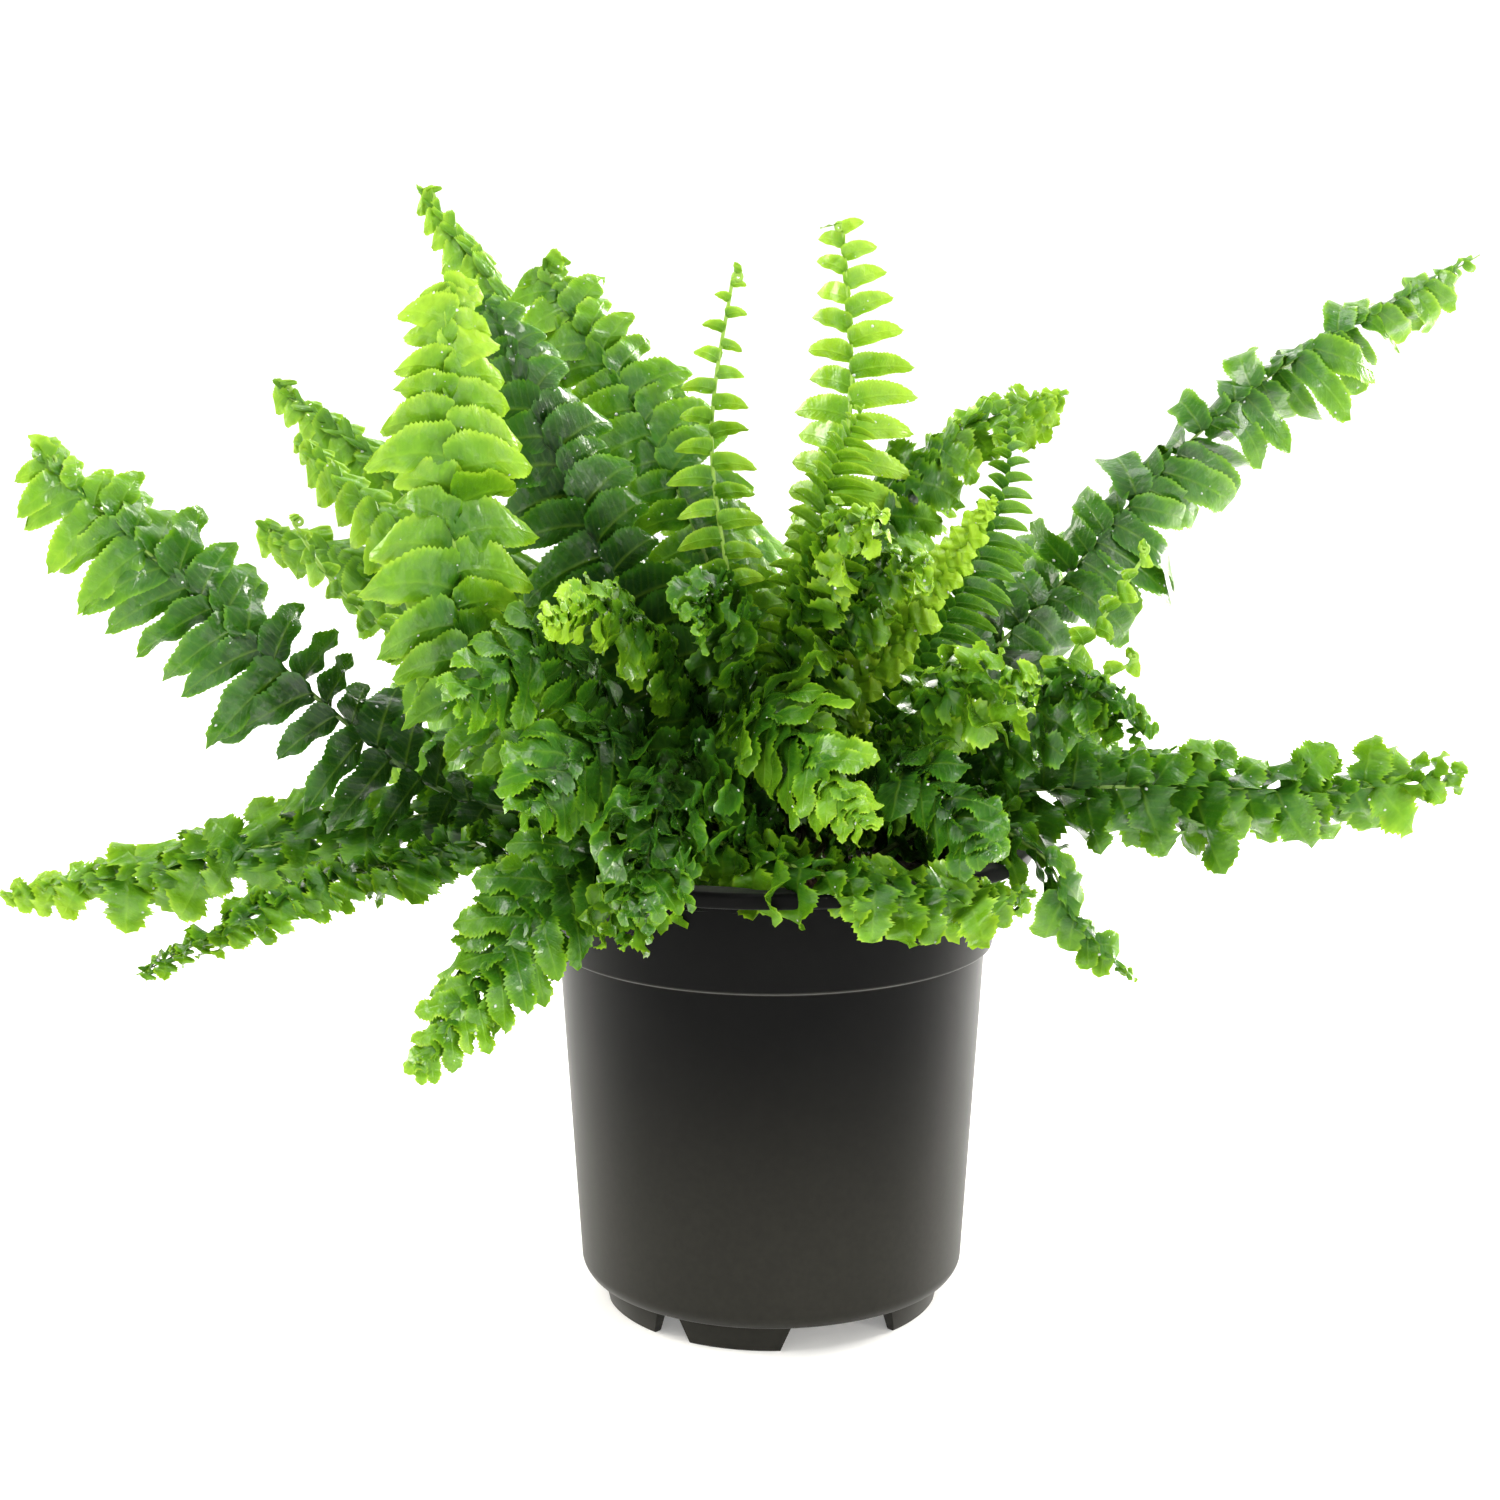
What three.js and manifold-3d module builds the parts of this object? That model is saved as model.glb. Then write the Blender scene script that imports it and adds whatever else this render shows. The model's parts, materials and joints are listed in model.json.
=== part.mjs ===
// A compact Boston fern in a black nursery pot: pot, potting soil, crown and one solid per frond.
// Millimetres, +Z up. The origin is on the pot's axis, level with the soles of its feet.

import * as THREE from 'three';
import { mergeVertices } from 'three/addons/utils/BufferGeometryUtils.js';
import Module from 'manifold-3d';

const wasm = await Module();
wasm.setup();

// Pot
const POT_HEIGHT = 104;
const LIP_RADIUS = 57;
const LIP_THICKNESS = 3.4;
const COLLAR_TOP_RADIUS = 50.9;
const COLLAR_BOTTOM_RADIUS = 48.5;
const LEDGE_Z = 81;
const BODY_TOP_RADIUS = 46.8;
const BODY_BOTTOM_RADIUS = 42.4;
const BODY_BOTTOM_Z = 8;
const WALL = 1.2;
const FLOOR_Z = 7;
const FLOOR_THICKNESS = 1.6;
const POT_SEGMENTS = 54;

// Feet: three pairs, so there are three wide gaps and three narrow ones
const FOOT_TOP_RADIUS = 38.2;
const FOOT_BOTTOM_RADIUS = 37;
const FOOT_INNER_RADIUS = 34.7;
const FOOT_GAP_TOP_Z = 5.5;
const PAIR_CENTRES = [-36, 84, 204];
const WIDE_GAP = 23;
const NARROW_GAP = 5.5;
const GAP_FLARE = 2.4;

// Drainage holes
const HOLE_DIAMETER = 9;
const HOLE_RING_RADIUS = 27;
const HOLE_COUNT = 6;

// Moulded tab under the lip
const TAB = { angle: -12.5, width: 15, height: 2.2, proud: 0.7 };

// Soil and crown
const GAP = 0.3;
const SOIL_TOP_Z = 93.5;
const SOIL_EDGE_Z = 91.5;
const CROWN_RADIUS = 22.5;
const CROWN_TOP_Z = 97.5;

// Fronds
const STIPE_RADIUS = 0.8;
const RING_RADII = [4, 9, 14, 19];
const BASE_LIFT = 0.9;
const TEETH_PITCH = 6.2;
const FROND_GAP = 0.35;

// One entry per frond: ring of the crown it grows from, half width of the blade, roll about its own
// axis at base and tip in degrees, whether the tip is still coiled, and points that it passes through.
const FRONDS = {
  left_high: [2, 15, 70, 80, 0, [-40, -13, 110], [-71, -22, 119], [-110, -34, 155], [-145, -45, 190]],
  left_low: [3, 9, 55, 60, 0, [-50, -6, 111], [-84, -10, 109], [-124, -15, 101], [-164, -20, 95]],
  left_low_thin: [3, 8, 30, 45, 0, [-42, -20, 110], [-62, -30, 108], [-92, -45, 103], [-125, -62, 89]],
  front_left_falling: [3, 15, 40, 45, 0, [-31, -34, 111], [-43, -47, 104], [-57, -61, 88], [-69, -75, 73]],
  rim_left: [3, 11, 35, 30, 0, [-15, -32, 112], [-25, -52, 110], [-31, -64, 97]],
  rim_front: [3, 9, -40, -45, 0, [-12, -36, 110], [4, -54, 109], [28, -56, 104], [52, -44, 101]],
  left_upright: [2, 14, 105, 119, 0, [-34, -26, 118], [-60, -42, 146], [-63, -45, 180], [-63, -46, 223]],
  left_crozier: [2, 6, 70, 75, 1, [-48, -5, 127], [-88, -7, 155], [-102, -8, 174]],
  left_back_low: [2, 9, 65, 75, 0, [-50, 11, 128], [-90, 19, 160], [-114, 24, 168]],
  left_back_mid: [1, 11, 65, 72, 0, [-30, 4, 125], [-72, 9, 160], [-104, 13, 190]],
  left_back_thin: [1, 8, 50, 55, 0, [-40, 12, 142], [-86, 26, 182], [-111, 32, 200]],
  tall_left: [1, 8, 35, 40, 1, [-24, 8, 150], [-55, 17, 213], [-77, 25, 243]],
  left_arch: [0, 15, 60, 68, 0, [-10, 4, 150], [-26, 9, 190], [-51, 18, 227]],
  dark_crescent: [1, 16, 85, 95, 0, [-24, -6, 140], [-42, -10, 180], [-59, -15, 220]],
  young_centre: [0, 8, 78, 78, 1, [-8, 0, 150], [-13, 2, 190], [-8, 2, 227]],
  young_right: [0, 15, -50, -50, 1, [7, 6, 150], [17, 13, 195], [15, 12, 238]],
  fan_centre: [0, 12, -80, -100, 0, [7, -4, 145], [12, -7, 180], [19, -12, 198]],
  crescent_right: [1, 10, -70, -77, 0, [22, 1, 125], [38, 3, 152], [50, 6, 178], [51, 6, 197]],
  edge_right: [1, 11, -80, -95, 0, [15, -10, 132], [29, -19, 154], [45, -30, 180]],
  right_back_dark: [1, 10, -55, -60, 0, [14, 8, 150], [37, 18, 187], [67, 31, 199]],
  right_far: [2, 15, -58, -62, 0, [30, 12, 125], [60, 21, 152], [106, 38, 197], [166, 60, 230]],
  right_level: [3, 11, -55, -65, 0, [40, -6, 113], [83, -11, 117], [118, -16, 117], [146, -20, 122]],
  right_falling: [3, 9, -50, -50, 0, [38, -23, 112], [55, -34, 107], [62, -39, 94], [73, -44, 83]],
  young_far_right: [2, 8, -60, -70, 0, [34, 5, 120], [64, 9, 140], [84, 12, 167]],
  crozier_right: [2, 5, -60, -65, 1, [38, -1, 119], [64, 0, 134], [80, 1, 143]],
  right_serrated: [2, 11, -70, -75, 0, [24, -10, 113], [42, -17, 124], [62, -28, 141], [76, -38, 132]],
  front_right_bright: [2, 12, -75, -80, 0, [22, -22, 124], [35, -42, 143], [50, -62, 146]],
  front_pale: [1, 10, -80, -80, 0, [10, -12, 138], [22, -28, 164], [31, -44, 168]],
  front_light_tip: [1, 10, -80, -80, 0, [4, -13, 140], [10, -30, 170], [21, -50, 178]],
  front_centre: [2, 12, -30, -40, 0, [-5, -20, 124], [-3, -34, 137], [8, -58, 130], [17, -74, 121]],
  front_right_low: [3, 11, -35, -45, 0, [16, -27, 114], [26, -47, 128], [40, -76, 116]],
  ruffled_left: [2, 14, 60, 65, 0, [-27, -20, 128], [-44, -46, 150], [-60, -74, 146]],
  ruffled_left_low: [3, 14, 50, 50, 0, [-17, -25, 118], [-33, -50, 133], [-46, -82, 126]],
  ruffled_centre: [1, 11, 50, 45, 0, [-6, -14, 138], [-10, -34, 162], [-16, -58, 159]],
  ruffled_front: [3, 12, 25, 20, 0, [-6, -27, 114], [-16, -50, 130], [-22, -78, 124], [-25, -96, 108]],
  bright_cluster: [1, 12, 75, 75, 0, [-19, -14, 140], [-32, -40, 158], [-44, -74, 160]],
  back_right_high: [2, 13, 0, 0, 0, [28, 33, 125], [52, 60, 156], [74, 86, 162]],
  back_mid: [3, 12, 0, 0, 0, [12, 38, 122], [20, 68, 140], [26, 94, 132]],
  back_left_high: [2, 13, 0, 0, 0, [-3, 38, 132], [-6, 70, 160], [-9, 96, 168]],
  back_left_low: [3, 12, 0, 0, 0, [-18, 36, 119], [-34, 66, 134], [-48, 92, 126]],
  back_left_long: [2, 12, 0, 0, 0, [-36, 33, 128], [-70, 62, 160], [-98, 84, 172]],
  side_left_back: [3, 12, 0, 10, 0, [-44, 30, 117], [-74, 58, 130], [-98, 84, 122]],
  side_right_back: [3, 12, 0, -10, 0, [40, 28, 117], [68, 58, 126], [88, 86, 110]],
  back_upright: [1, 10, 0, 0, 0, [15, 25, 138], [30, 54, 166], [42, 78, 178]],
  back_tall: [1, 10, 0, 0, 0, [-6, 22, 146], [-14, 46, 174], [-22, 68, 182]],
  back_left_mid: [1, 11, 0, 0, 0, [-20, 24, 142], [-46, 54, 180], [-66, 78, 196]],
  back_falling: [3, 10, 0, 0, 0, [4, 42, 112], [5, 60, 109], [6, 78, 96], [7, 90, 80]],
  back_left_falling: [3, 10, 0, 0, 0, [-32, 38, 112], [-46, 54, 107], [-58, 68, 90]],
  back_right_falling: [3, 10, 0, 0, 0, [30, 38, 112], [43, 52, 107], [56, 68, 88]],
  side_right_low: [3, 12, -20, -35, 0, [46, 9, 113], [82, 22, 118], [110, 36, 109]],
  side_left_low: [3, 11, 20, 35, 0, [-46, 13, 114], [-72, 28, 121], [-92, 42, 113]],
  young_back: [0, 7, 0, 0, 1, [5, 12, 154], [12, 24, 182], [15, 34, 194]],
};

const plastic = new THREE.MeshStandardMaterial({ color: 0x17181a, roughness: 0.42, metalness: 0 });
const soilMaterial = new THREE.MeshStandardMaterial({ color: 0x2e2118, roughness: 0.95, metalness: 0 });
const crownMaterial = new THREE.MeshStandardMaterial({ color: 0x4a3a22, roughness: 0.9, metalness: 0 });
const leafMaterial = new THREE.MeshStandardMaterial({ color: 0x4f9a22, roughness: 0.5, metalness: 0 });
const youngMaterial = new THREE.MeshStandardMaterial({ color: 0x9ccc3c, roughness: 0.5, metalness: 0 });

// Position-only copy with shared vertices, no collapsed triangles and faces outward.
function weld(geometry) {
  const bare = new THREE.BufferGeometry();
  bare.setAttribute('position', geometry.attributes.position.clone());
  if (geometry.index) bare.setIndex(geometry.index.clone());
  const merged = mergeVertices(bare, 1e-4);
  const index = merged.index.array;
  const position = merged.attributes.position.array;
  const kept = [];
  let volume = 0;
  for (let i = 0; i < index.length; i += 3) {
    const [a, b, c] = [index[i], index[i + 1], index[i + 2]];
    if (a === b || b === c || c === a) continue;
    kept.push(a, b, c);
    const [p, q, r] = [a, b, c].map((k) => new THREE.Vector3().fromArray(position, 3 * k));
    volume += p.dot(q.cross(r)) / 6;
  }
  if (volume < 0) kept.reverse();
  merged.setIndex(kept);
  return merged;
}

function solid(geometry) {
  const merged = weld(geometry);
  return new wasm.Manifold(new wasm.Mesh({
    numProp: 3,
    vertProperties: new Float32Array(merged.attributes.position.array),
    triVerts: new Uint32Array(merged.index.array),
  }));
}

function geometryOf(manifold) {
  const mesh = manifold.getMesh();
  const geometry = new THREE.BufferGeometry();
  geometry.setAttribute('position', new THREE.BufferAttribute(mesh.vertProperties, 3));
  geometry.setIndex(new THREE.BufferAttribute(mesh.triVerts, 1));
  geometry.computeVertexNormals();
  return geometry;
}

// Turned solid about +Z from a closed list of [radius, height] points.
function turned(profile) {
  const points = profile.map(([r, z]) => new THREE.Vector2(r, z));
  return new THREE.LatheGeometry(points, POT_SEGMENTS).rotateX(Math.PI / 2);
}

// Direction seen from the front of the pot: 0 is toward the front (-Y), positive toward +X.
function frontAngle(degrees) {
  const a = THREE.MathUtils.degToRad(degrees);
  return { x: Math.sin(a), y: -Math.cos(a), turn: a };
}

function potBody() {
  const lipBottom = POT_HEIGHT - LIP_THICKNESS;
  const inner = BODY_BOTTOM_Z + FLOOR_THICKNESS;
  return solid(turned([
    [0, FLOOR_Z], [FOOT_INNER_RADIUS, FLOOR_Z], [FOOT_INNER_RADIUS + 0.2, 0],
    [FOOT_BOTTOM_RADIUS, 0], [FOOT_TOP_RADIUS, 5.8],
    [BODY_BOTTOM_RADIUS - 1.2, 6.9], [BODY_BOTTOM_RADIUS, BODY_BOTTOM_Z + 0.6],
    [BODY_TOP_RADIUS, LEDGE_Z - 0.4], [COLLAR_BOTTOM_RADIUS, LEDGE_Z + 0.3],
    [COLLAR_TOP_RADIUS, lipBottom], [LIP_RADIUS - 0.7, lipBottom + 0.1],
    [LIP_RADIUS, lipBottom + 0.9], [LIP_RADIUS, POT_HEIGHT - 0.9],
    [LIP_RADIUS - 0.9, POT_HEIGHT], [COLLAR_TOP_RADIUS - 0.5, POT_HEIGHT],
    [COLLAR_TOP_RADIUS - WALL, POT_HEIGHT - 1],
    [COLLAR_TOP_RADIUS - WALL, lipBottom], [COLLAR_BOTTOM_RADIUS - WALL, LEDGE_Z + 1.5],
    [BODY_TOP_RADIUS - WALL, LEDGE_Z - 1], [BODY_BOTTOM_RADIUS - WALL, inner + 0.6],
    [BODY_BOTTOM_RADIUS - 2.4, FLOOR_Z + FLOOR_THICKNESS], [0, FLOOR_Z + FLOOR_THICKNESS],
    [0, FLOOR_Z],
  ]));
}

// Trapezoid gap between two feet, wider at the sole, cut radially through the foot ring.
function footGap(angle, width) {
  const half = width / 2;
  const shape = new THREE.Shape([
    new THREE.Vector2(-half - GAP_FLARE, -1), new THREE.Vector2(half + GAP_FLARE, -1),
    new THREE.Vector2(half, FOOT_GAP_TOP_Z), new THREE.Vector2(-half, FOOT_GAP_TOP_Z),
  ]);
  const depth = 20;
  const geometry = new THREE.ExtrudeGeometry(shape, { depth, bevelEnabled: false });
  geometry.rotateX(Math.PI / 2);
  const { x, y, turn } = frontAngle(angle);
  const reach = FOOT_INNER_RADIUS - 8;
  return solid(geometry.rotateZ(turn).translate(x * reach, y * reach, 0));
}

function drainHole(x, y) {
  const geometry = new THREE.CylinderGeometry(HOLE_DIAMETER / 2, HOLE_DIAMETER / 2, 6, 16);
  return solid(geometry.rotateX(Math.PI / 2).translate(x, y, FLOOR_Z + 1));
}

function potGeometry() {
  let pot = potBody();
  for (const centre of PAIR_CENTRES) {
    pot = pot.subtract(footGap(centre, NARROW_GAP)).subtract(footGap(centre + 60, WIDE_GAP));
  }
  pot = pot.subtract(drainHole(0, 0));
  for (let i = 0; i < HOLE_COUNT; i += 1) {
    const a = (i + 0.5) * 2 * Math.PI / HOLE_COUNT;
    pot = pot.subtract(drainHole(HOLE_RING_RADIUS * Math.cos(a), HOLE_RING_RADIUS * Math.sin(a)));
  }
  const { x, y, turn } = frontAngle(TAB.angle);
  const reach = COLLAR_TOP_RADIUS - 0.4;
  const tab = new THREE.BoxGeometry(TAB.width, 2 * TAB.proud, TAB.height).rotateZ(turn);
  tab.translate(x * reach, y * reach, POT_HEIGHT - LIP_THICKNESS - TAB.height / 2 + 0.2);
  return geometryOf(pot.add(solid(tab)));
}

function soilGeometry() {
  const floor = FLOOR_Z + FLOOR_THICKNESS + GAP;
  const slope = (COLLAR_TOP_RADIUS - COLLAR_BOTTOM_RADIUS) / (POT_HEIGHT - LIP_THICKNESS - LEDGE_Z);
  const edge = COLLAR_BOTTOM_RADIUS - WALL + slope * (SOIL_EDGE_Z - LEDGE_Z - 1.5) - GAP - 0.05;
  return turned([
    [0, floor], [BODY_BOTTOM_RADIUS - 2.8, floor], [BODY_BOTTOM_RADIUS - WALL - 0.4, floor + 2.2],
    [BODY_TOP_RADIUS - WALL - 0.4, LEDGE_Z - 1], [COLLAR_BOTTOM_RADIUS - WALL - 0.4, LEDGE_Z + 1.9],
    [edge, SOIL_EDGE_Z], [36, SOIL_EDGE_Z + 0.9], [CROWN_RADIUS + 3, SOIL_TOP_Z], [0, SOIL_TOP_Z],
  ]);
}

function crownGeometry() {
  const bottom = SOIL_TOP_Z + GAP;
  return turned([
    [0, bottom], [CROWN_RADIUS, bottom], [CROWN_RADIUS + 0.6, bottom + 1.2],
    [CROWN_RADIUS - 1, CROWN_TOP_Z], [0, CROWN_TOP_Z],
  ]);
}

// Bases are spread evenly round each ring of the crown, in the order in which the fronds leave it.
function frondPaths() {
  const fronds = Object.entries(FRONDS).map(([name, [ring, halfWidth, roll, rollTip, coiled, ...points]]) => {
    const heading = Math.atan2(points.at(-1)[1], points.at(-1)[0]);
    return { name, ring, halfWidth, roll, rollTip, coiled, points, heading };
  });
  const leaving = (frond) => Math.atan2(frond.points[0][1], frond.points[0][0]);
  RING_RADII.forEach((radius, ring) => {
    const members = fronds.filter((frond) => frond.ring === ring).sort((a, b) => leaving(a) - leaving(b));
    const step = 2 * Math.PI / members.length;
    let [sx, sy] = [0, 0];
    members.forEach((frond, i) => {
      sx += Math.cos(leaving(frond) - i * step);
      sy += Math.sin(leaving(frond) - i * step);
    });
    const start = Math.atan2(sy, sx);
    members.forEach((frond, i) => {
      const a = start + i * step;
      const base = [radius * Math.cos(a), radius * Math.sin(a), CROWN_TOP_Z + BASE_LIFT];
      const all = [base, ...frond.points].map((p) => new THREE.Vector3(...p));
      frond.curve = new THREE.CatmullRomCurve3(all, false, 'catmullrom', 0.5);
      frond.length = frond.curve.getLength();
      frond.samples = frond.curve.getSpacedPoints(60);
    });
  });
  return fronds;
}

function distanceToPolyline(point, samples) {
  const closest = new THREE.Vector3();
  const line = new THREE.Line3();
  let best = Infinity;
  for (let i = 0; i + 1 < samples.length; i += 1) {
    line.set(samples[i], samples[i + 1]).closestPointToPoint(point, true, closest);
    best = Math.min(best, closest.distanceTo(point));
  }
  return best;
}

// Distance from a point to the pot's lip and wall, and to the top of the crown and soil.
function distanceToPot(point) {
  const r = Math.hypot(point.x, point.y);
  const toBox = (r0, r1, z0, z1) => Math.hypot(
    Math.max(r0 - r, 0, r - r1), Math.max(z0 - point.z, 0, point.z - z1));
  return Math.min(
    toBox(COLLAR_TOP_RADIUS - WALL, LIP_RADIUS, POT_HEIGHT - LIP_THICKNESS, POT_HEIGHT),
    toBox(BODY_BOTTOM_RADIUS - WALL, COLLAR_TOP_RADIUS, 0, POT_HEIGHT),
    toBox(0, CROWN_RADIUS + 0.6, 0, CROWN_TOP_Z),
    toBox(0, COLLAR_TOP_RADIUS, 0, SOIL_TOP_Z));
}

function bladeWidth(frond, s) {
  const rise = THREE.MathUtils.smoothstep(s, 0.1, 0.4);
  const taper = Math.pow(Math.max(0, 1 - Math.pow(s, 2.2)), 0.8);
  return STIPE_RADIUS + (frond.halfWidth - STIPE_RADIUS) * rise * taper;
}

// A frond is a thin ribbon, thickest on its midrib, whose edges step in and out like its leaflets.
function frondGeometry(frond, others) {
  const steps = THREE.MathUtils.clamp(2 * Math.round(frond.length / TEETH_PITCH / 2), 12, 24);
  const side0 = new THREE.Vector3(Math.sin(frond.heading), -Math.cos(frond.heading), 0);
  const vertices = [];
  for (let i = 0; i < steps; i += 1) {
    const s = i / steps;
    const centre = frond.curve.getPointAt(s);
    const tangent = frond.curve.getTangentAt(s);
    const up = new THREE.Vector3().crossVectors(side0, tangent).normalize();
    const side = new THREE.Vector3().crossVectors(tangent, up).normalize();
    const roll = THREE.MathUtils.degToRad(THREE.MathUtils.lerp(frond.roll, frond.rollTip, s));
    side.applyAxisAngle(tangent, roll);
    up.applyAxisAngle(tangent, roll);
    let width = bladeWidth(frond, s) * (i % 2 ? 0.62 : 1);
    const near = Math.min(...others.map((other) => distanceToPolyline(centre, other.samples)));
    width = Math.min(width, near / 2 - FROND_GAP, distanceToPot(centre) - GAP);
    if (frond.coiled && i > steps - 4) width = 1.5;
    width = Math.max(width, i === 0 ? 0.6 : 0.7);
    const thick = frond.coiled && i > steps - 4 ? 1.3 : Math.min(width, THREE.MathUtils.lerp(0.8, 0.5, s));
    for (const [along, out] of [[-width, 0], [0, -thick], [width, 0], [0, thick]]) {
      vertices.push(centre.clone().addScaledVector(side, along).addScaledVector(up, out));
    }
  }
  const tip = vertices.push(frond.curve.getPointAt(1)) - 1;
  const index = [0, 2, 1, 0, 3, 2];
  for (let i = 0; i < steps; i += 1) {
    for (let k = 0; k < 4; k += 1) {
      const a = 4 * i + k;
      const b = 4 * i + (k + 1) % 4;
      if (i === steps - 1) index.push(a, b, tip);
      else index.push(a, b, b + 4, a, b + 4, a + 4);
    }
  }
  const geometry = new THREE.BufferGeometry().setFromPoints(vertices);
  geometry.setIndex(index);
  return geometry;
}

function part(name, geometry, material) {
  const mesh = new THREE.Mesh(geometry, material);
  mesh.name = name;
  return mesh;
}

function build() {
  const group = new THREE.Group();
  group.add(part('pot', potGeometry(), plastic));
  group.add(part('potting_soil', weld(soilGeometry()), soilMaterial));
  group.add(part('crown', weld(crownGeometry()), crownMaterial));
  const fronds = frondPaths();
  for (const frond of fronds) {
    const others = fronds.filter((other) => other !== frond);
    const material = frond.coiled ? youngMaterial : leafMaterial;
    group.add(part(`frond_${frond.name}`, weld(frondGeometry(frond, others)), material));
  }
  return group;
}

export default build();
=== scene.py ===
"""Looks of a compact Boston fern in a black nursery pot.

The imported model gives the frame. The pot, the soil, the crown and every frond get a detailed
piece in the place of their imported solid. Sizes are in millimetres and become metres in meshes.
"""

from __future__ import annotations

import json
import logging
import math
import random
from dataclasses import dataclass, field
from enum import Enum
from typing import Iterable, Sequence, Union

import bmesh
import bpy
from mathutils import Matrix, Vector, noise

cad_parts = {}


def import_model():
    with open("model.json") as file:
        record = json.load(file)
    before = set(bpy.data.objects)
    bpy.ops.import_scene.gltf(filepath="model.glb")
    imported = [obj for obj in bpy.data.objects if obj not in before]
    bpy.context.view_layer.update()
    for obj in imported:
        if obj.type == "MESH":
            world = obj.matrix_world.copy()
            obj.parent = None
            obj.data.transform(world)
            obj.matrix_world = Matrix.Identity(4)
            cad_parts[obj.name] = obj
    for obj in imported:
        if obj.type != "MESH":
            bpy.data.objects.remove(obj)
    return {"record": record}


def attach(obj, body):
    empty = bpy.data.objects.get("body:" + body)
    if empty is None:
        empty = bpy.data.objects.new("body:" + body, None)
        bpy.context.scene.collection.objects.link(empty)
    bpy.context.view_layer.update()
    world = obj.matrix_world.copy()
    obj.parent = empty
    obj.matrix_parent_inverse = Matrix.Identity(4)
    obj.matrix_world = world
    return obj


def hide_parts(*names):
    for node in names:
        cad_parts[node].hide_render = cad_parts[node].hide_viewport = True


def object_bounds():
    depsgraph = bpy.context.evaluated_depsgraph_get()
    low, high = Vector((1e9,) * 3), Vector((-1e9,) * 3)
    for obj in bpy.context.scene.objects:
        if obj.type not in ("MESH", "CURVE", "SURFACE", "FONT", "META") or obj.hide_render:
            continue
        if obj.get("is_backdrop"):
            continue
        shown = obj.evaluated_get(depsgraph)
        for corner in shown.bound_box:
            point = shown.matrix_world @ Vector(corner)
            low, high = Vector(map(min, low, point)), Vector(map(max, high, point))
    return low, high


LOG = logging.getLogger("fern")
MM = 0.001
Point = tuple[float, float, float]
Value = Union[bpy.types.NodeSocket, float, int, bool, tuple]


def smooth(low: float, high: float, x: float) -> float:
    """Ramp smoothly from 0 at low to 1 at high.

    Args:
        low: Value of x where the ramp starts.
        high: Value of x where the ramp ends.
        x: The value to place on the ramp.

    Returns:
        The height of the ramp at x, from 0 to 1.
    """
    t = min(max((x - low) / (high - low), 0.0), 1.0)
    return t * t * (3.0 - 2.0 * t)


class Wiring:
    """Adds nodes to one tree and links them, so that formulas stay short."""

    def __init__(self, tree: bpy.types.NodeTree) -> None:
        """Take the tree that the nodes go into."""
        self.tree = tree

    def feed(self, socket: bpy.types.NodeSocket, value: Value) -> None:
        """Link a socket into another one, or set its value.

        Args:
            socket: The input that is fed.
            value: An output to link, or a plain value.
        """
        if isinstance(value, bpy.types.NodeSocket):
            self.tree.links.new(value, socket)
        else:
            socket.default_value = value

    def add(self, kind: str, inputs: dict | None = None, **settings: object) -> bpy.types.Node:
        """Add a node.

        Args:
            kind: The node's type name.
            inputs: Values or outputs for its inputs, by name or number.
            **settings: Properties of the node.

        Returns:
            The new node.
        """
        node = self.tree.nodes.new(kind)
        for name, value in settings.items():
            setattr(node, name, value)
        for key, value in (inputs or {}).items():
            self.feed(node.inputs[key], value)
        return node

    def math(self, operation: str, *values: Value) -> bpy.types.NodeSocket:
        """Add a math node over the values and return its result."""
        node = self.add("ShaderNodeMath", operation=operation)
        for socket, value in zip(node.inputs, values):
            self.feed(socket, value)
        return node.outputs[0]

    def vector(self, operation: str, *values: Value, scale: Value | None = None) -> bpy.types.NodeSocket:
        """Add a vector math node over the values and return its result."""
        node = self.add("ShaderNodeVectorMath", operation=operation)
        for socket, value in zip(node.inputs, values):
            self.feed(socket, value)
        if scale is not None:
            self.feed(node.inputs["Scale"], scale)
        scalar = operation in {"DOT_PRODUCT", "LENGTH", "DISTANCE"}
        return node.outputs["Value" if scalar else "Vector"]

    def blend(self, *terms: tuple[Value, Value]) -> bpy.types.NodeSocket:
        """Add up vectors, each times its own factor.

        Args:
            *terms: Pairs of a vector and its factor.

        Returns:
            The vector sum.
        """
        total: bpy.types.NodeSocket | None = None
        for vector, factor in terms:
            part = self.vector("SCALE", vector, scale=factor)
            total = part if total is None else self.vector("ADD", total, part)
        return total

    def lerp(self, low: Value, high: Value, factor: Value) -> bpy.types.NodeSocket:
        """Mix two numbers by a factor."""
        node = self.add("ShaderNodeMix", {"Factor": factor}, data_type="FLOAT")
        self.feed(node.inputs[2], low)
        self.feed(node.inputs[3], high)
        return node.outputs[0]

    def ramp(self, factor: Value, stops: Sequence[tuple[float, Sequence[float]]]) -> bpy.types.NodeSocket:
        """Colour a factor by stops.

        Args:
            factor: Where on the ramp.
            stops: Pairs of a position and a linear colour.

        Returns:
            The ramp's colour.
        """
        node = self.add("ShaderNodeValToRGB", {"Fac": factor})
        elements = node.color_ramp.elements
        while len(elements) < len(stops):
            elements.new(0.5)
        for element, (position, colour) in zip(elements, stops):
            element.position = position
            element.color = (*colour, 1.0)
        return node.outputs["Color"]

    def mix(self, factor: Value, first: Value, second: Value, how: str = "MIX") -> bpy.types.NodeSocket:
        """Mix two colours.

        Args:
            factor: How much of the second shows.
            first: The colour below.
            second: The colour on top.
            how: The blend type.

        Returns:
            The mixed colour.
        """
        node = self.add("ShaderNodeMix", data_type="RGBA", blend_type=how)
        self.feed(node.inputs[0], factor)
        self.feed(node.inputs[6], first)
        self.feed(node.inputs[7], second)
        return node.outputs[2]


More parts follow.
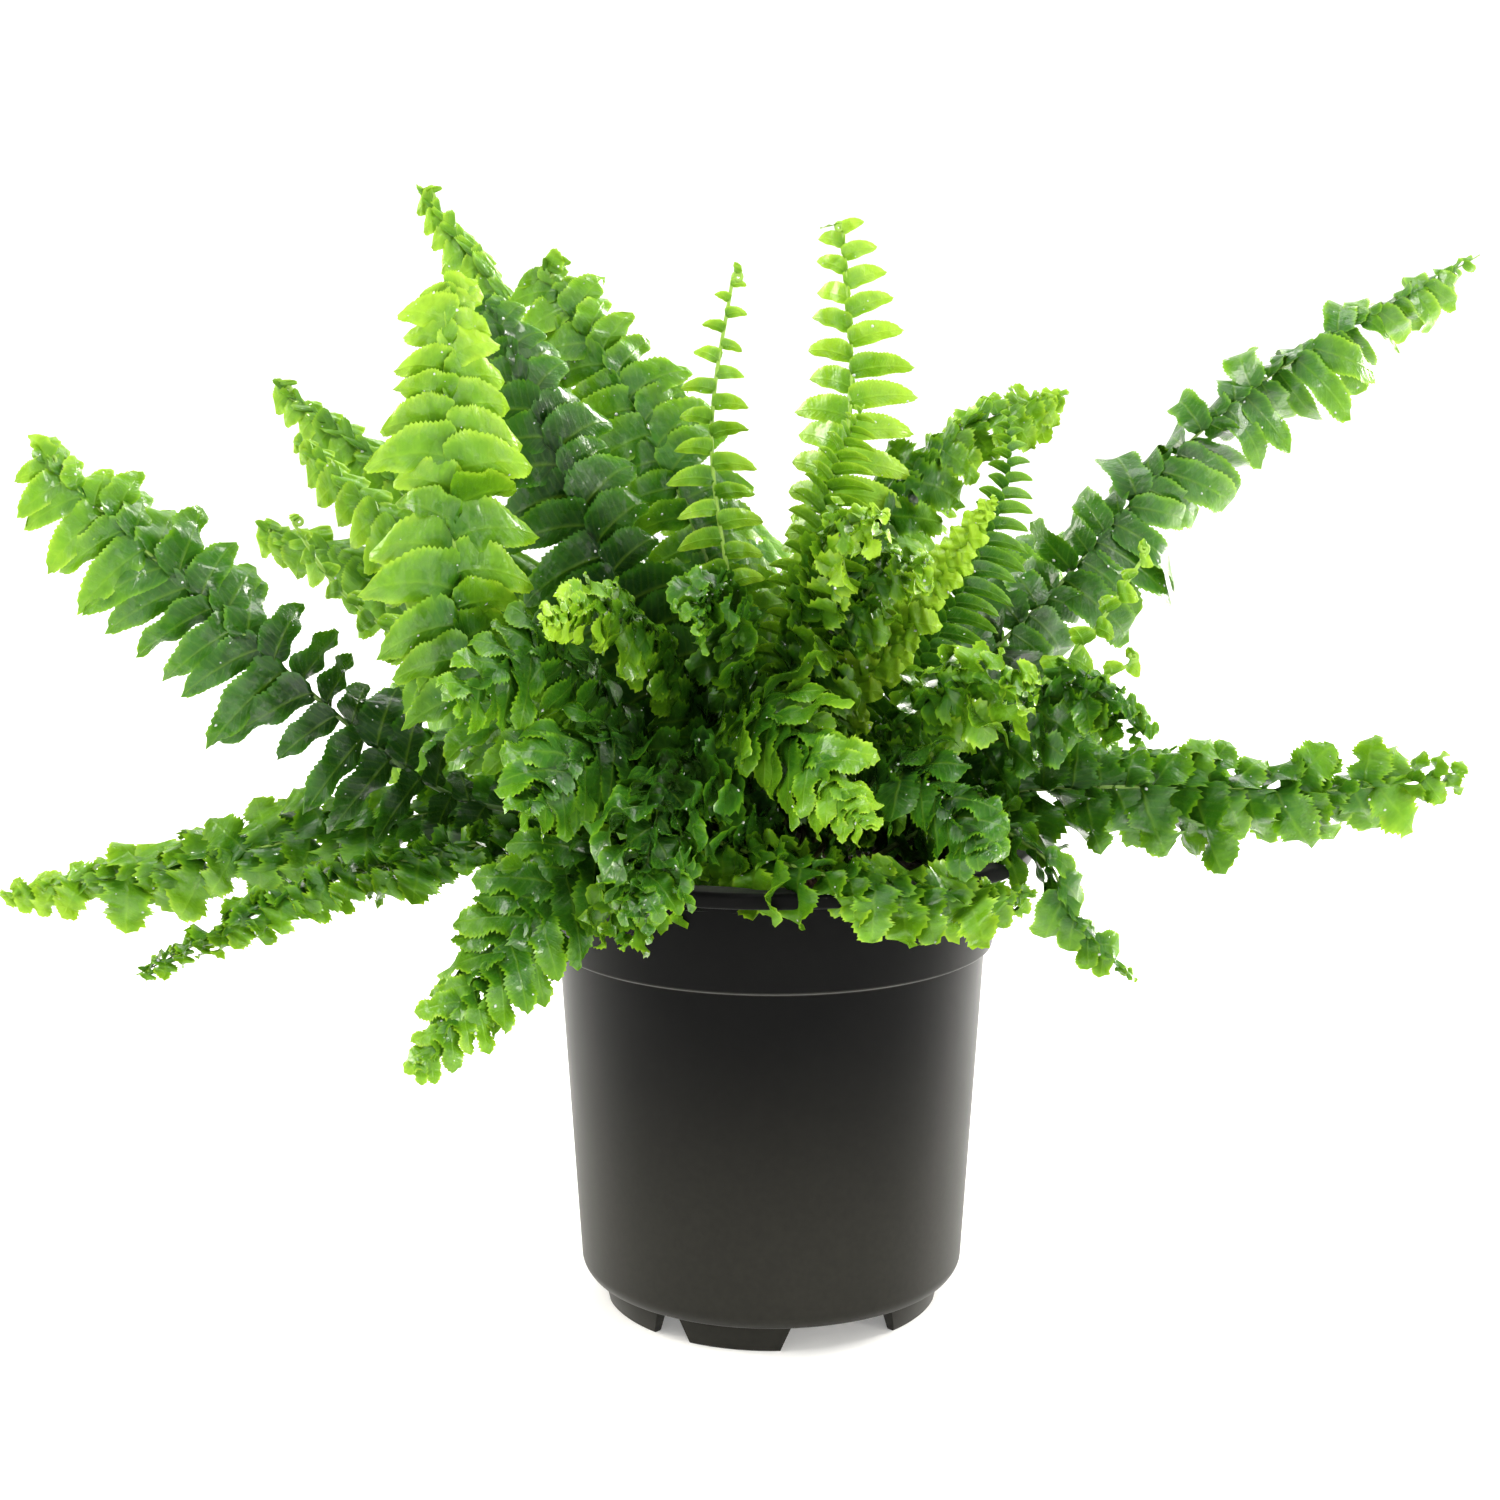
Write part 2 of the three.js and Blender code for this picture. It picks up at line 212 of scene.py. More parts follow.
class NodeTool:
    """A Geometry Nodes tree with named inputs, which turns a start mesh or curve into a plain mesh."""

    def __init__(self, name: str) -> None:
        """Start an empty tree with a geometry input and output."""
        self.tree = bpy.data.node_groups.new(name, "GeometryNodeTree")
        self.tree.interface.new_socket("Geometry", in_out="INPUT", socket_type="NodeSocketGeometry")
        self.tree.interface.new_socket("Geometry", in_out="OUTPUT", socket_type="NodeSocketGeometry")
        self.wire = Wiring(self.tree)

    def inputs(self, sockets: dict[str, str]) -> bpy.types.NodeOutputs:
        """Args:
            sockets: Socket type by input name.

        Returns:
            The outputs of the group's input node.
        """
        for name, kind in sockets.items():
            self.tree.interface.new_socket(name, in_out="INPUT", socket_type=kind)
        return self.wire.add("NodeGroupInput").outputs

    def named(self, name: str, kind: str = "FLOAT") -> bpy.types.NodeSocket:
        """Read a named attribute."""
        node = self.wire.add("GeometryNodeInputNamedAttribute", {"Name": name}, data_type=kind)
        return node.outputs["Attribute"]

    def store(self, geometry: bpy.types.NodeSocket, name: str, value: Value, kind: str = "FLOAT") -> bpy.types.NodeSocket:
        """Store a value per point under a name.

        Args:
            geometry: What carries the attribute.
            name: The attribute's name.
            value: The field to store.
            kind: Its data type.

        Returns:
            The geometry with the attribute.
        """
        node = self.wire.add("GeometryNodeStoreNamedAttribute", {"Geometry": geometry, "Name": name, "Value": value},
                             data_type=kind, domain="POINT")
        return node.outputs[0]

    def chance(self, low: Value, high: Value, seed: Value, salt: int, where: Value) -> bpy.types.NodeSocket:
        """Draw a random number for each element.

        Args:
            low: The smallest value.
            high: The largest value.
            seed: The piece's seed.
            salt: A number that keeps draws apart.
            where: The element's identity.

        Returns:
            The random field.
        """
        node = self.wire.add("FunctionNodeRandomValue", data_type="FLOAT")
        self.wire.feed(node.inputs[2], low)
        self.wire.feed(node.inputs[3], high)
        self.wire.feed(node.inputs["ID"], where)
        self.wire.feed(node.inputs["Seed"], self.wire.math("ADD", seed, float(salt)))
        return node.outputs[1]

    def apply(self, start: bpy.types.Object, name: str, values: dict[str, object]) -> bpy.types.Object:
        """Run the tree on a start object and keep the result as a plain mesh.

        Args:
            start: The object that the tree works on; it is removed afterwards.
            name: Name of the finished piece.
            values: Values for the tree's named inputs.

        Returns:
            The finished piece, at the origin.
        """
        modifier = start.modifiers.new("growth", "NODES")
        modifier.node_group = self.tree
        for item in self.tree.interface.items_tree:
            if item.item_type == "SOCKET" and item.in_out == "INPUT" and item.name in values:
                modifier[item.identifier] = values[item.name]
        bpy.context.view_layer.update()
        graph = bpy.context.evaluated_depsgraph_get()
        mesh = bpy.data.meshes.new_from_object(start.evaluated_get(graph))
        start.modifiers.remove(modifier)
        mesh.name = name
        piece = bpy.data.objects.new(name, mesh)
        bpy.context.scene.collection.objects.link(piece)
        discard(start)
        return piece


def discard(piece: bpy.types.Object) -> None:
    """Remove a helper object."""
    bpy.data.objects.remove(piece, do_unlink=True)


def mesh_object(name: str, points: Iterable[Sequence[float]], faces: Iterable[Sequence[int]]) -> bpy.types.Object:
    """Make a mesh object from points in metres.

    Args:
        name: The object's name.
        points: The vertices.
        faces: The faces, as vertex numbers.

    Returns:
        The new object.
    """
    mesh = bpy.data.meshes.new(name)
    mesh.from_pydata([tuple(p) for p in points], [], [tuple(f) for f in faces])
    mesh.update()
    piece = bpy.data.objects.new(name, mesh)
    bpy.context.scene.collection.objects.link(piece)
    return piece


def tidy_normals(piece: bpy.types.Object, sharp: float = 40.0) -> None:
    """Merge doubles, point the faces outward and shade smoothly between sharp edges.

    Args:
        piece: The mesh object.
        sharp: The angle in degrees past which an edge stays sharp.
    """
    shell = bmesh.new()
    shell.from_mesh(piece.data)
    bmesh.ops.remove_doubles(shell, verts=shell.verts, dist=1e-6)
    bmesh.ops.recalc_face_normals(shell, faces=shell.faces)
    for edge in shell.edges:
        edge.smooth = edge.calc_face_angle(0.0) < math.radians(sharp)
    for face in shell.faces:
        face.smooth = True
    shell.to_mesh(piece.data)
    shell.free()


# ------------------------------------------------------------------ finishes


class Mottle:
    """A shader node group of fine uneven grain, which several finishes share."""

    tree: bpy.types.NodeTree | None = None

    @classmethod
    def group(cls) -> bpy.types.NodeTree:
        """Build the group once.

        Returns:
            The shared node group.
        """
        if cls.tree is not None:
            return cls.tree
        tree = bpy.data.node_groups.new("mottle", "ShaderNodeTree")
        face = tree.interface
        face.new_socket("Position", in_out="INPUT", socket_type="NodeSocketVector")
        for name, value in (("Size", 2.0), ("Detail", 4.0), ("Contrast", 1.0)):
            face.new_socket(name, in_out="INPUT", socket_type="NodeSocketFloat").default_value = value
        face.new_socket("Patches", in_out="OUTPUT", socket_type="NodeSocketFloat")
        face.new_socket("Grain", in_out="OUTPUT", socket_type="NodeSocketFloat")
        wire = Wiring(tree)
        given = wire.add("NodeGroupInput").outputs
        scale = wire.math("DIVIDE", 1000.0, given["Size"])
        broad = wire.add("ShaderNodeTexNoise", {"Vector": given["Position"], "Scale": scale, "Detail": given["Detail"]})
        fine = wire.add("ShaderNodeTexNoise", {"Vector": given["Position"], "Scale": wire.math("MULTIPLY", scale, 6.0),
                                               "Detail": 2.0})
        centred = wire.math("SUBTRACT", broad.outputs["Fac"], 0.5)
        patches = wire.math("ADD", wire.math("MULTIPLY", centred, given["Contrast"]), 0.5)
        out = wire.add("NodeGroupOutput")
        wire.feed(out.inputs["Patches"], wire.math("MINIMUM", wire.math("MAXIMUM", patches, 0.0), 1.0))
        wire.feed(out.inputs["Grain"], fine.outputs["Fac"])
        cls.tree = tree
        return tree

    @classmethod
    def place(cls, wire: Wiring, position: Value, size: float, contrast: float, detail: float = 4.0) -> bpy.types.NodeOutputs:
        """Place the group in a material.

        Args:
            wire: The material's wiring.
            position: The coordinate that it reads.
            size: The size of its patches in millimetres.
            contrast: How strongly the patches differ.
            detail: How much finer detail the patches have.

        Returns:
            The group's outputs.
        """
        node = wire.add("ShaderNodeGroup")
        node.node_tree = cls.group()
        for name, value in (("Position", position), ("Size", size), ("Contrast", contrast), ("Detail", detail)):
            wire.feed(node.inputs[name], value)
        return node.outputs


def new_material(name: str) -> tuple[bpy.types.Material, Wiring, bpy.types.Node]:
    """Start a material with a lone Principled shader.

    Args:
        name: The material's name.

    Returns:
        The material, its wiring and the shader.
    """
    material = bpy.data.materials.new(name)
    material.use_nodes = True
    wire = Wiring(material.node_tree)
    return material, wire, material.node_tree.nodes["Principled BSDF"]


def bump(wire: Wiring, height: Value, strength: float, depth: float) -> bpy.types.NodeSocket:
    """Turn a height into a normal.

    Args:
        wire: The material's wiring.
        height: The height, about 0 to 1.
        strength: How strong the relief is.
        depth: The relief's depth in millimetres.

    Returns:
        The bumped normal.
    """
    node = wire.add("ShaderNodeBump", {"Strength": strength, "Distance": depth * MM, "Height": height})
    return node.outputs["Normal"]


@dataclass(frozen=True)
class LeafFinish:
    """Living fern leaflet: deep green to yellow-green, veined, wet and a little see-through, with painted shade toward
    each leaflet's and each frond's base and painted light along the margins.
    """

    deep: tuple = (0.007, 0.036, 0.005)
    mid: tuple = (0.036, 0.150, 0.007)
    bright: tuple = (0.150, 0.355, 0.010)
    young: tuple = (0.370, 0.610, 0.030)
    roughness: float = 0.34
    see_through: float = 0.24
    pale_under: tuple = (0.060, 0.190, 0.018)

    def material(self) -> bpy.types.Material:
        """Build the material.

        Returns:
            The leaf material. It reads the leaf attributes that the frond tree stores.
        """
        material, wire, shader = new_material("fern_leaf")
        leaf = wire.add("ShaderNodeAttribute", attribute_name="leaf_xyz").outputs["Vector"]
        mood = wire.add("ShaderNodeAttribute", attribute_name="mood").outputs["Vector"]
        along, _, side = wire.add("ShaderNodeSeparateXYZ", {"Vector": leaf}).outputs
        youth_and_shade = wire.add("ShaderNodeSeparateXYZ", {"Vector": mood}).outputs[0]
        margin = wire.add("ShaderNodeAttribute", attribute_name="margin").outputs["Fac"]
        place = wire.add("ShaderNodeTexCoord").outputs["Object"]
        patches = Mottle.place(wire, place, 2.6, 1.6)
        # painted highlight: leaflet margins made lighter, standing in for light glowing through their thin edges
        edge = wire.math("POWER", margin, 5.0)
        tone = wire.math("ADD", youth_and_shade, wire.math("MULTIPLY", wire.math("SUBTRACT", edge, 0.22), 0.32))
        tone = wire.math("ADD", tone, wire.math("MULTIPLY", wire.math("SUBTRACT", patches["Patches"], 0.5), 0.22))
        # painted shade: each leaflet darker toward its base, where its neighbour overlaps it, and lighter toward its
        # tip
        tone = wire.math("ADD", tone, wire.math("MULTIPLY", wire.math("SUBTRACT", along, 0.50), 0.42))
        green = wire.ramp(tone, ((0.0, self.deep), (0.36, self.mid), (0.68, self.bright), (1.0, self.young)))
        forks = wire.math("SUBTRACT", wire.math("MULTIPLY", along, 11.0), wire.math("MULTIPLY", margin, 1.7))
        vein = wire.math("PINGPONG", forks, 0.5)
        vein = wire.math("SUBTRACT", 1.0, wire.math("SMOOTH_MIN", wire.math("MULTIPLY", vein, 5.0), 1.0, 0.2))
        midrib = wire.math("SUBTRACT", 1.0, wire.math("MINIMUM", wire.math("MULTIPLY", margin, 8.0), 1.0))
        lines = wire.math("MAXIMUM", wire.math("MULTIPLY", vein, 0.35), midrib)
        green = wire.mix(wire.math("MULTIPLY", lines, 0.14), green, (*self.young, 1.0))
        under = wire.math("MINIMUM", wire.math("MAXIMUM", wire.math("MULTIPLY", side, -40.0), 0.0), 1.0)
        green = wire.mix(wire.math("MULTIPLY", under, 0.35), green, (*self.pale_under, 1.0))
        wire.feed(shader.inputs["Base Color"], green)
        wet = wire.math("GREATER_THAN", Mottle.place(wire, place, 5.0, 2.2)["Patches"], 0.52)
        rough = wire.math("ADD", self.roughness, wire.math("MULTIPLY", wire.math("SUBTRACT", patches["Grain"], 0.5), 0.25))
        wire.feed(shader.inputs["Roughness"], wire.math("SUBTRACT", rough, wire.math("MULTIPLY", wet, 0.10)))
        wire.feed(shader.inputs["Coat Weight"], wire.math("MULTIPLY", wet, 0.40))
        shader.inputs["Coat Roughness"].default_value = 0.07
        shader.inputs["Specular IOR Level"].default_value = 0.30
        relief = wire.math("SUBTRACT", wire.math("MULTIPLY", patches["Grain"], 0.35), wire.math("MULTIPLY", lines, 0.55))
        blisters = wire.add("ShaderNodeTexNoise", {"Vector": place, "Scale": 520.0, "Detail": 1.0})
        relief = wire.math("ADD", relief, wire.math("MULTIPLY", blisters.outputs["Fac"], 1.6))
        normal = bump(wire, relief, 0.55, 0.25)
        wire.feed(shader.inputs["Normal"], normal)
        glow = wire.add("ShaderNodeBsdfTranslucent",
                        {"Color": wire.mix(0.30, green, (*self.young, 1.0)), "Normal": normal})
        mixed = wire.add("ShaderNodeMixShader", {0: self.see_through, 1: shader.outputs[0], 2: glow.outputs[0]})
        wire.feed(material.node_tree.nodes["Material Output"].inputs["Surface"], mixed.outputs[0])
        return material


@dataclass(frozen=True)
class WaterFinish:
    """Beads of water left from misting, half white so that they show as painted glints."""

    tint: tuple = (0.95, 1.0, 0.95)

    def material(self) -> bpy.types.Material:
        """Build the material.

        Returns:
            The water.
        """
        material, wire, shader = new_material("water_bead")
        place = wire.add("ShaderNodeTexCoord").outputs["Object"]
        grain = Mottle.place(wire, place, 3.0, 1.0)["Patches"]
        # painted highlight: a whitish colour, half diffuse, makes the beads read as glints
        wire.feed(shader.inputs["Base Color"], wire.mix(grain, (*self.tint, 1.0), (1.0, 1.0, 1.0, 1.0)))
        wire.feed(shader.inputs["Roughness"], wire.lerp(0.01, 0.05, grain))
        shader.inputs["Transmission Weight"].default_value = 0.5
        shader.inputs["IOR"].default_value = 1.33
        return material


@dataclass(frozen=True)
class StemFinish:
    """Frond midrib: brown and scaly at its foot, fresh green toward the tip."""

    foot: tuple = (0.045, 0.024, 0.010)
    old: tuple = (0.040, 0.090, 0.012)
    young: tuple = (0.240, 0.420, 0.040)

    def material(self) -> bpy.types.Material:
        """Build the material.

        Returns:
            The stem material, which reads how far along the midrib a point lies.
        """
        material, wire, shader = new_material("fern_stem")
        along = wire.add("ShaderNodeAttribute", attribute_name="along").outputs["Fac"]
        place = wire.add("ShaderNodeTexCoord").outputs["Object"]
        patches = Mottle.place(wire, place, 1.6, 1.5)
        mood = wire.add("ShaderNodeAttribute", attribute_name="mood").outputs["Vector"]
        youth_and_shade = wire.add("ShaderNodeSeparateXYZ", {"Vector": mood}).outputs[0]
        green = wire.ramp(youth_and_shade, ((0.25, self.old), (0.9, self.young)))
        where = wire.math("ADD", along, wire.math("MULTIPLY", wire.math("SUBTRACT", patches["Patches"], 0.5), 0.12))
        brown = wire.math("SUBTRACT", 1.0, wire.math("MINIMUM", wire.math("DIVIDE", where, 0.24), 1.0))
        wire.feed(shader.inputs["Base Color"], wire.mix(brown, green, (*self.foot, 1.0)))
        wire.feed(shader.inputs["Roughness"], wire.lerp(0.38, 0.62, patches["Patches"]))
        wire.feed(shader.inputs["Normal"], bump(wire, patches["Grain"], 0.6, 0.15))
        return material


@dataclass(frozen=True)
class PotFinish:
    """Black injection-moulded plastic with a satin face, fine texture and dust, with a painted reflection of the floor
    toward the bottom and a painted highlight round the ledge.
    """

    black: tuple = (0.0012, 0.0013, 0.0015)
    dust_and_painted_light_tone: tuple = (0.033, 0.032, 0.026)
    ledge_highlight_height: float = 81.0
    roughness: float = 0.27

    def material(self) -> bpy.types.Material:
        """Build the material.

        Returns:
            The pot's plastic.
        """
        material, wire, shader = new_material("pot_plastic")
        place = wire.add("ShaderNodeTexCoord").outputs["Object"]
        patches = Mottle.place(wire, place, 26.0, 1.8, 6.0)
        grain = Mottle.place(wire, place, 1.3, 1.0)
        height = wire.add("ShaderNodeSeparateXYZ", {"Vector": place}).outputs[2]
        # painted reflection: colour lightened and roughness raised toward the bottom, from 80 mm down to 12 mm,
        # standing in for the floor's reflection
        low = wire.add("ShaderNodeMapRange", {"Value": height, "From Min": 0.080, "From Max": 0.012},
                       interpolation_type="SMOOTHSTEP").outputs[0]
        # painted highlight: a thin light line round the ledge edge
        off = wire.math("ABSOLUTE", wire.math("SUBTRACT", height, self.ledge_highlight_height * MM))
        ledge_highlight = wire.math("SUBTRACT", 1.0, wire.math("MINIMUM", wire.math("MULTIPLY", off, 1500.0), 1.0))
        # Random dust patches plus the painted floor reflection and the painted ledge highlight, all in the one colour
        dust_and_painted_light = wire.math("ADD", wire.math("MULTIPLY", patches["Patches"], 0.05), wire.math("MULTIPLY", low, 0.48))
        dust_and_painted_light = wire.math("MULTIPLY", dust_and_painted_light, wire.lerp(0.75, 1.25, grain["Patches"]))
        dust_and_painted_light = wire.math("ADD", dust_and_painted_light, wire.math("MULTIPLY", ledge_highlight, 1.0))
        wire.feed(shader.inputs["Base Color"], wire.mix(dust_and_painted_light, (*self.black, 1.0), (*self.dust_and_painted_light_tone, 1.0)))
        rough = wire.math("ADD", self.roughness, wire.math("MULTIPLY", patches["Patches"], 0.12))
        rough = wire.math("ADD", rough, wire.math("MULTIPLY", wire.math("SUBTRACT", grain["Grain"], 0.5), 0.10))
        wire.feed(shader.inputs["Roughness"], wire.math("ADD", rough, wire.math("MULTIPLY", low, 0.12)))
        turned = wire.add("ShaderNodeTexNoise", {"Vector": wire.vector("MULTIPLY", place, (30.0, 30.0, 2600.0)),
                                                 "Scale": 1.0, "Detail": 2.0})
        relief = wire.math("ADD", wire.math("MULTIPLY", grain["Grain"], 0.5),
                           wire.math("MULTIPLY", turned.outputs["Fac"], 0.25))
        wire.feed(shader.inputs["Normal"], bump(wire, relief, 0.25, 0.05))
        shader.inputs["Specular IOR Level"].default_value = 0.035
        shader.inputs["Sheen Weight"].default_value = 0.12
        shader.inputs["Sheen Roughness"].default_value = 0.45
        return material


@dataclass(frozen=True)
class EarthFinish:
    """Damp peat mix or the fibrous brown of the crown."""

    name: str
    dark: tuple
    light: tuple
    roughness: float = 0.85

    def material(self) -> bpy.types.Material:
        """Build the material.

        Returns:
            The earthy material.
        """
        material, wire, shader = new_material(self.name)
        place = wire.add("ShaderNodeTexCoord").outputs["Object"]
        patches = Mottle.place(wire, place, 2.2, 2.4, 6.0)
        wire.feed(shader.inputs["Base Color"],
                  wire.ramp(patches["Patches"], ((0.25, self.dark), (0.75, self.light))))
        wire.feed(shader.inputs["Roughness"], wire.lerp(self.roughness - 0.25, self.roughness, patches["Patches"]))
        relief = wire.math("ADD", patches["Patches"], wire.math("MULTIPLY", patches["Grain"], 0.5))
        wire.feed(shader.inputs["Normal"], bump(wire, relief, 0.8, 0.8))
        return material


@dataclass(frozen=True)
class StudioFinish:
    """Matt off-white of the floor."""

    tone: tuple = (0.86, 0.86, 0.85)
    glow: float = 0.22

    def material(self) -> bpy.types.Material:
        """Build the floor's material."""
        material, wire, shader = new_material("studio_floor")
        place = wire.add("ShaderNodeTexCoord").outputs["Object"]
        patches = Mottle.place(wire, place, 180.0, 0.6)
        darker = tuple(0.97 * c for c in self.tone)
        wire.feed(shader.inputs["Base Color"], wire.ramp(patches["Patches"], ((0.0, darker), (1.0, self.tone))))
        shader.inputs["Roughness"].default_value = 0.7
        shader.inputs["Emission Color"].default_value = (1.0, 1.0, 0.99, 1.0)
        shader.inputs["Emission Strength"].default_value = self.glow
        return material


# ------------------------------------------------------------------ the pot


@dataclass
class NurseryPot:
    """Round grower's pot: lip, collar, ledge, tapered body, six feet in three pairs and drain holes."""

    height: float = 104.0
    lip_radius: float = 57.0
    lip_thickness: float = 3.4
    collar_top: float = 50.9
    collar_bottom: float = 48.5
    ledge_z: float = 81.0
    body_top: float = 46.8
    body_bottom: float = 42.4
    body_bottom_z: float = 8.0
    wall: float = 1.2
    floor_z: float = 7.0
    floor_thickness: float = 1.6
    foot_top: float = 38.2
    foot_bottom: float = 37.0
    foot_inner: float = 34.7
    gap_top_z: float = 5.5
    pair_centres: tuple[float, ...] = (-36.0, 84.0, 204.0)
    wide_gap: float = 23.0
    narrow_gap: float = 5.5
    flare: float = 2.0
    hole_radius: float = 4.5
    hole_ring: float = 27.0
    hole_count: int = 6
    tab_angle: float = -12.5
    tab_size: tuple[float, float, float] = (15.0, 1.4, 2.2)
    segments: int = 288

    def gap_height(self, degrees: float) -> float:
        """Give the height of the sole above the table.

        Args:
            degrees: Direction seen from the front, positive toward +X.

        Returns:
            The height in millimetres: 0 on a foot, more in a gap.
        """
        best = 0.0
        for centre in self.pair_centres:
            for middle, width in ((centre, self.narrow_gap), (centre + 60.0, self.wide_gap)):
                turn = (degrees - middle + 180.0) % 360.0 - 180.0
                if abs(turn) < 60.0:
                    off = abs(self.foot_bottom * math.sin(math.radians(turn)))
                    rise = (width / 2.0 + self.flare - off) / self.flare
                    best = max(best, self.gap_top_z * min(max(rise, 0.0), 1.0))
        return best

    def profile(self) -> list[tuple[float, float]]:
        """List the outline from the sole up, over the lip and down inside, with rounded corners.

        Returns:
            Radius and height pairs in millimetres, without the foot ring.
        """
        under = self.height - self.lip_thickness
        inner = self.body_bottom_z + self.floor_thickness
        raw = [
            (self.body_bottom - 1.2, 6.9, 0.4), (self.body_bottom, self.body_bottom_z + 0.6, 1.1),
            (self.body_top, self.ledge_z - 0.4, 0.3), (self.collar_bottom, self.ledge_z + 0.3, 0.45),
            (self.collar_top, under, 0.5), (self.lip_radius, under + 0.1, 0.8),
            (self.lip_radius, self.height, 1.1), (self.collar_top - 0.6, self.height, 0.8),
            (self.collar_top - self.wall, self.height - 1.2, 0.5), (self.collar_top - self.wall, under, 0.5),
            (self.collar_bottom - self.wall, self.ledge_z + 1.5, 0.4),
            (self.body_top - self.wall, self.ledge_z - 1.0, 0.4),
            (self.body_bottom - self.wall, inner + 0.6, 0.6),
            (self.body_bottom - 2.4, self.floor_z + self.floor_thickness, 0.5),
        ]
        outline: list[tuple[float, float]] = []
        for i, (r, z, bend) in enumerate(raw):
            before = Vector(raw[i - 1][:2]) if i else Vector((self.foot_top, 5.8))
            after = Vector(raw[i + 1][:2]) if i + 1 < len(raw) else Vector((0.0, z))
            corner = Vector((r, z))
            start = corner + (before - corner).normalized() * bend
            end = corner + (after - corner).normalized() * bend
            for k in range(5):
                t = k / 4.0
                outline.append(tuple((1 - t) ** 2 * start + 2 * t * (1 - t) * corner + t * t * end))
        return outline

    def shell(self) -> bpy.types.Object:
        """Turn the outline, with a foot ring whose sole rises in the gaps.

        Returns:
            The pot's closed wall, before its drain holes.
        """
        angles = sorted({round(360.0 * i / self.segments, 4) for i in range(self.segments)}
                        | {round(a % 360.0, 4) for a in self.gap_corners()})
        rows: list[list[Vector]] = []
        for a in angles:
            turn = math.radians(a)
            out = Vector((math.sin(turn), -math.cos(turn), 0.0))
            lift = self.gap_height(a)
            lean = lift / 5.8
            ring = [(self.foot_inner, self.floor_z), (self.foot_inner + 0.2, lift + 0.25),
                    (self.foot_inner + 0.5, lift), (self.foot_bottom + 1.2 * lean - 0.35, lift),
                    (self.foot_bottom + 1.2 * lean, lift + 0.3), (self.foot_top, 5.8)]
            column = ring + self.profile()
            rows.append([out * r * MM + Vector((0.0, 0.0, z * MM)) for r, z in column])
        depth = len(rows[0])
        points = [p for row in rows for p in row]
        under, above = len(points), len(points) + 1
        points += [Vector((0.0, 0.0, self.floor_z * MM)),
                   Vector((0.0, 0.0, (self.floor_z + self.floor_thickness) * MM))]
        faces: list[tuple[int, ...]] = []
        for i in range(len(rows)):
            here, there = i * depth, ((i + 1) % len(rows)) * depth
            faces += [(here + k, there + k, there + k + 1, here + k + 1) for k in range(depth - 1)]
            faces += [(under, there, here), (above, here + depth - 1, there + depth - 1)]
        return mesh_object("pot_shell", points, faces)

    def gap_corners(self) -> list[float]:
        """List the directions where the sole starts and stops rising."""
        found = []
        for centre in self.pair_centres:
            for middle, width in ((centre, self.narrow_gap), (centre + 60.0, self.wide_gap)):
                for off in (width / 2.0, width / 2.0 + self.flare):
                    turn = math.degrees(math.asin(off / self.foot_bottom))
                    found += [middle - turn, middle + turn]
        return found

    def drilled(self, shell: bpy.types.Object) -> bpy.types.Object:
        """Cut the drain holes through the floor.

        Args:
            shell: The turned wall.

        Returns:
            The wall with its holes.
        """
        tidy_normals(shell)
        tool = bmesh.new()
        spots = [(0.0, 0.0)]
        for i in range(self.hole_count):
            turn = (i + 0.5) * 2.0 * math.pi / self.hole_count
            spots.append((self.hole_ring * math.cos(turn), self.hole_ring * math.sin(turn)))
        for x, y in spots:
            made = bmesh.ops.create_cone(tool, cap_ends=True, segments=28, radius1=self.hole_radius * MM,
                                         radius2=self.hole_radius * MM, depth=6.0 * MM)
            bmesh.ops.translate(tool, verts=made["verts"], vec=Vector((x, y, self.floor_z + 1.0)) * MM)
        mesh = bpy.data.meshes.new("drain_tool")
        tool.to_mesh(mesh)
        tool.free()
        cutter = bpy.data.objects.new("drain_tool", mesh)
        bpy.context.scene.collection.objects.link(cutter)
        cut = shell.modifiers.new("drain", "BOOLEAN")
        cut.operation = "DIFFERENCE"
        cut.solver = "EXACT"
        cut.object = cutter
        graph = bpy.context.evaluated_depsgraph_get()
        result = bpy.data.meshes.new_from_object(shell.evaluated_get(graph))
        piece = bpy.data.objects.new("nursery_pot", result)
        bpy.context.scene.collection.objects.link(piece)
        discard(cutter)
        discard(shell)
        return piece

    def tab(self) -> bpy.types.Object:
        """Make the small moulded tab under the lip, let into the collar."""
        shape = bmesh.new()
        bmesh.ops.create_cube(shape, size=1.0)
        wide, deep, tall = self.tab_size
        bmesh.ops.scale(shape, verts=shape.verts, vec=Vector((wide, deep, tall)) * MM)
        bmesh.ops.bevel(shape, geom=list(shape.edges), offset=0.3 * MM, segments=2, profile=0.5, affect="EDGES")
        turn = math.radians(self.tab_angle)
        reach = self.collar_top - 0.4
        for vert in shape.verts:
            x, y, z = vert.co
            a = turn + x / (reach * MM)
            r = reach * MM - y
            vert.co = (r * math.sin(a), -r * math.cos(a), z + (self.height - self.lip_thickness - tall / 2 + 0.1) * MM)
        mesh = bpy.data.meshes.new("tab")
        shape.to_mesh(mesh)
        shape.free()
        piece = bpy.data.objects.new("tab", mesh)
        bpy.context.scene.collection.objects.link(piece)
        return piece

    def build(self, finish: PotFinish) -> bpy.types.Object:
        """Build and dress the pot.

        Args:
            finish: Its plastic.

        Returns:
            The pot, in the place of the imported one.
        """
        pot = self.drilled(self.shell())
        tab = self.tab()
        merged = bmesh.new()
        merged.from_mesh(pot.data)
        merged.from_mesh(tab.data)
        merged.to_mesh(pot.data)
        merged.free()
        discard(tab)
        tidy_normals(pot, 32.0)
        pot.data.materials.clear()
        pot.data.materials.append(finish.material())
        for polygon in pot.data.polygons:
            polygon.material_index = 0
        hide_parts("pot")
        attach(pot, "root")
        LOG.info("pot: %d faces", len(pot.data.polygons))
        return pot


# ------------------------------------------------------------------ soil and crown


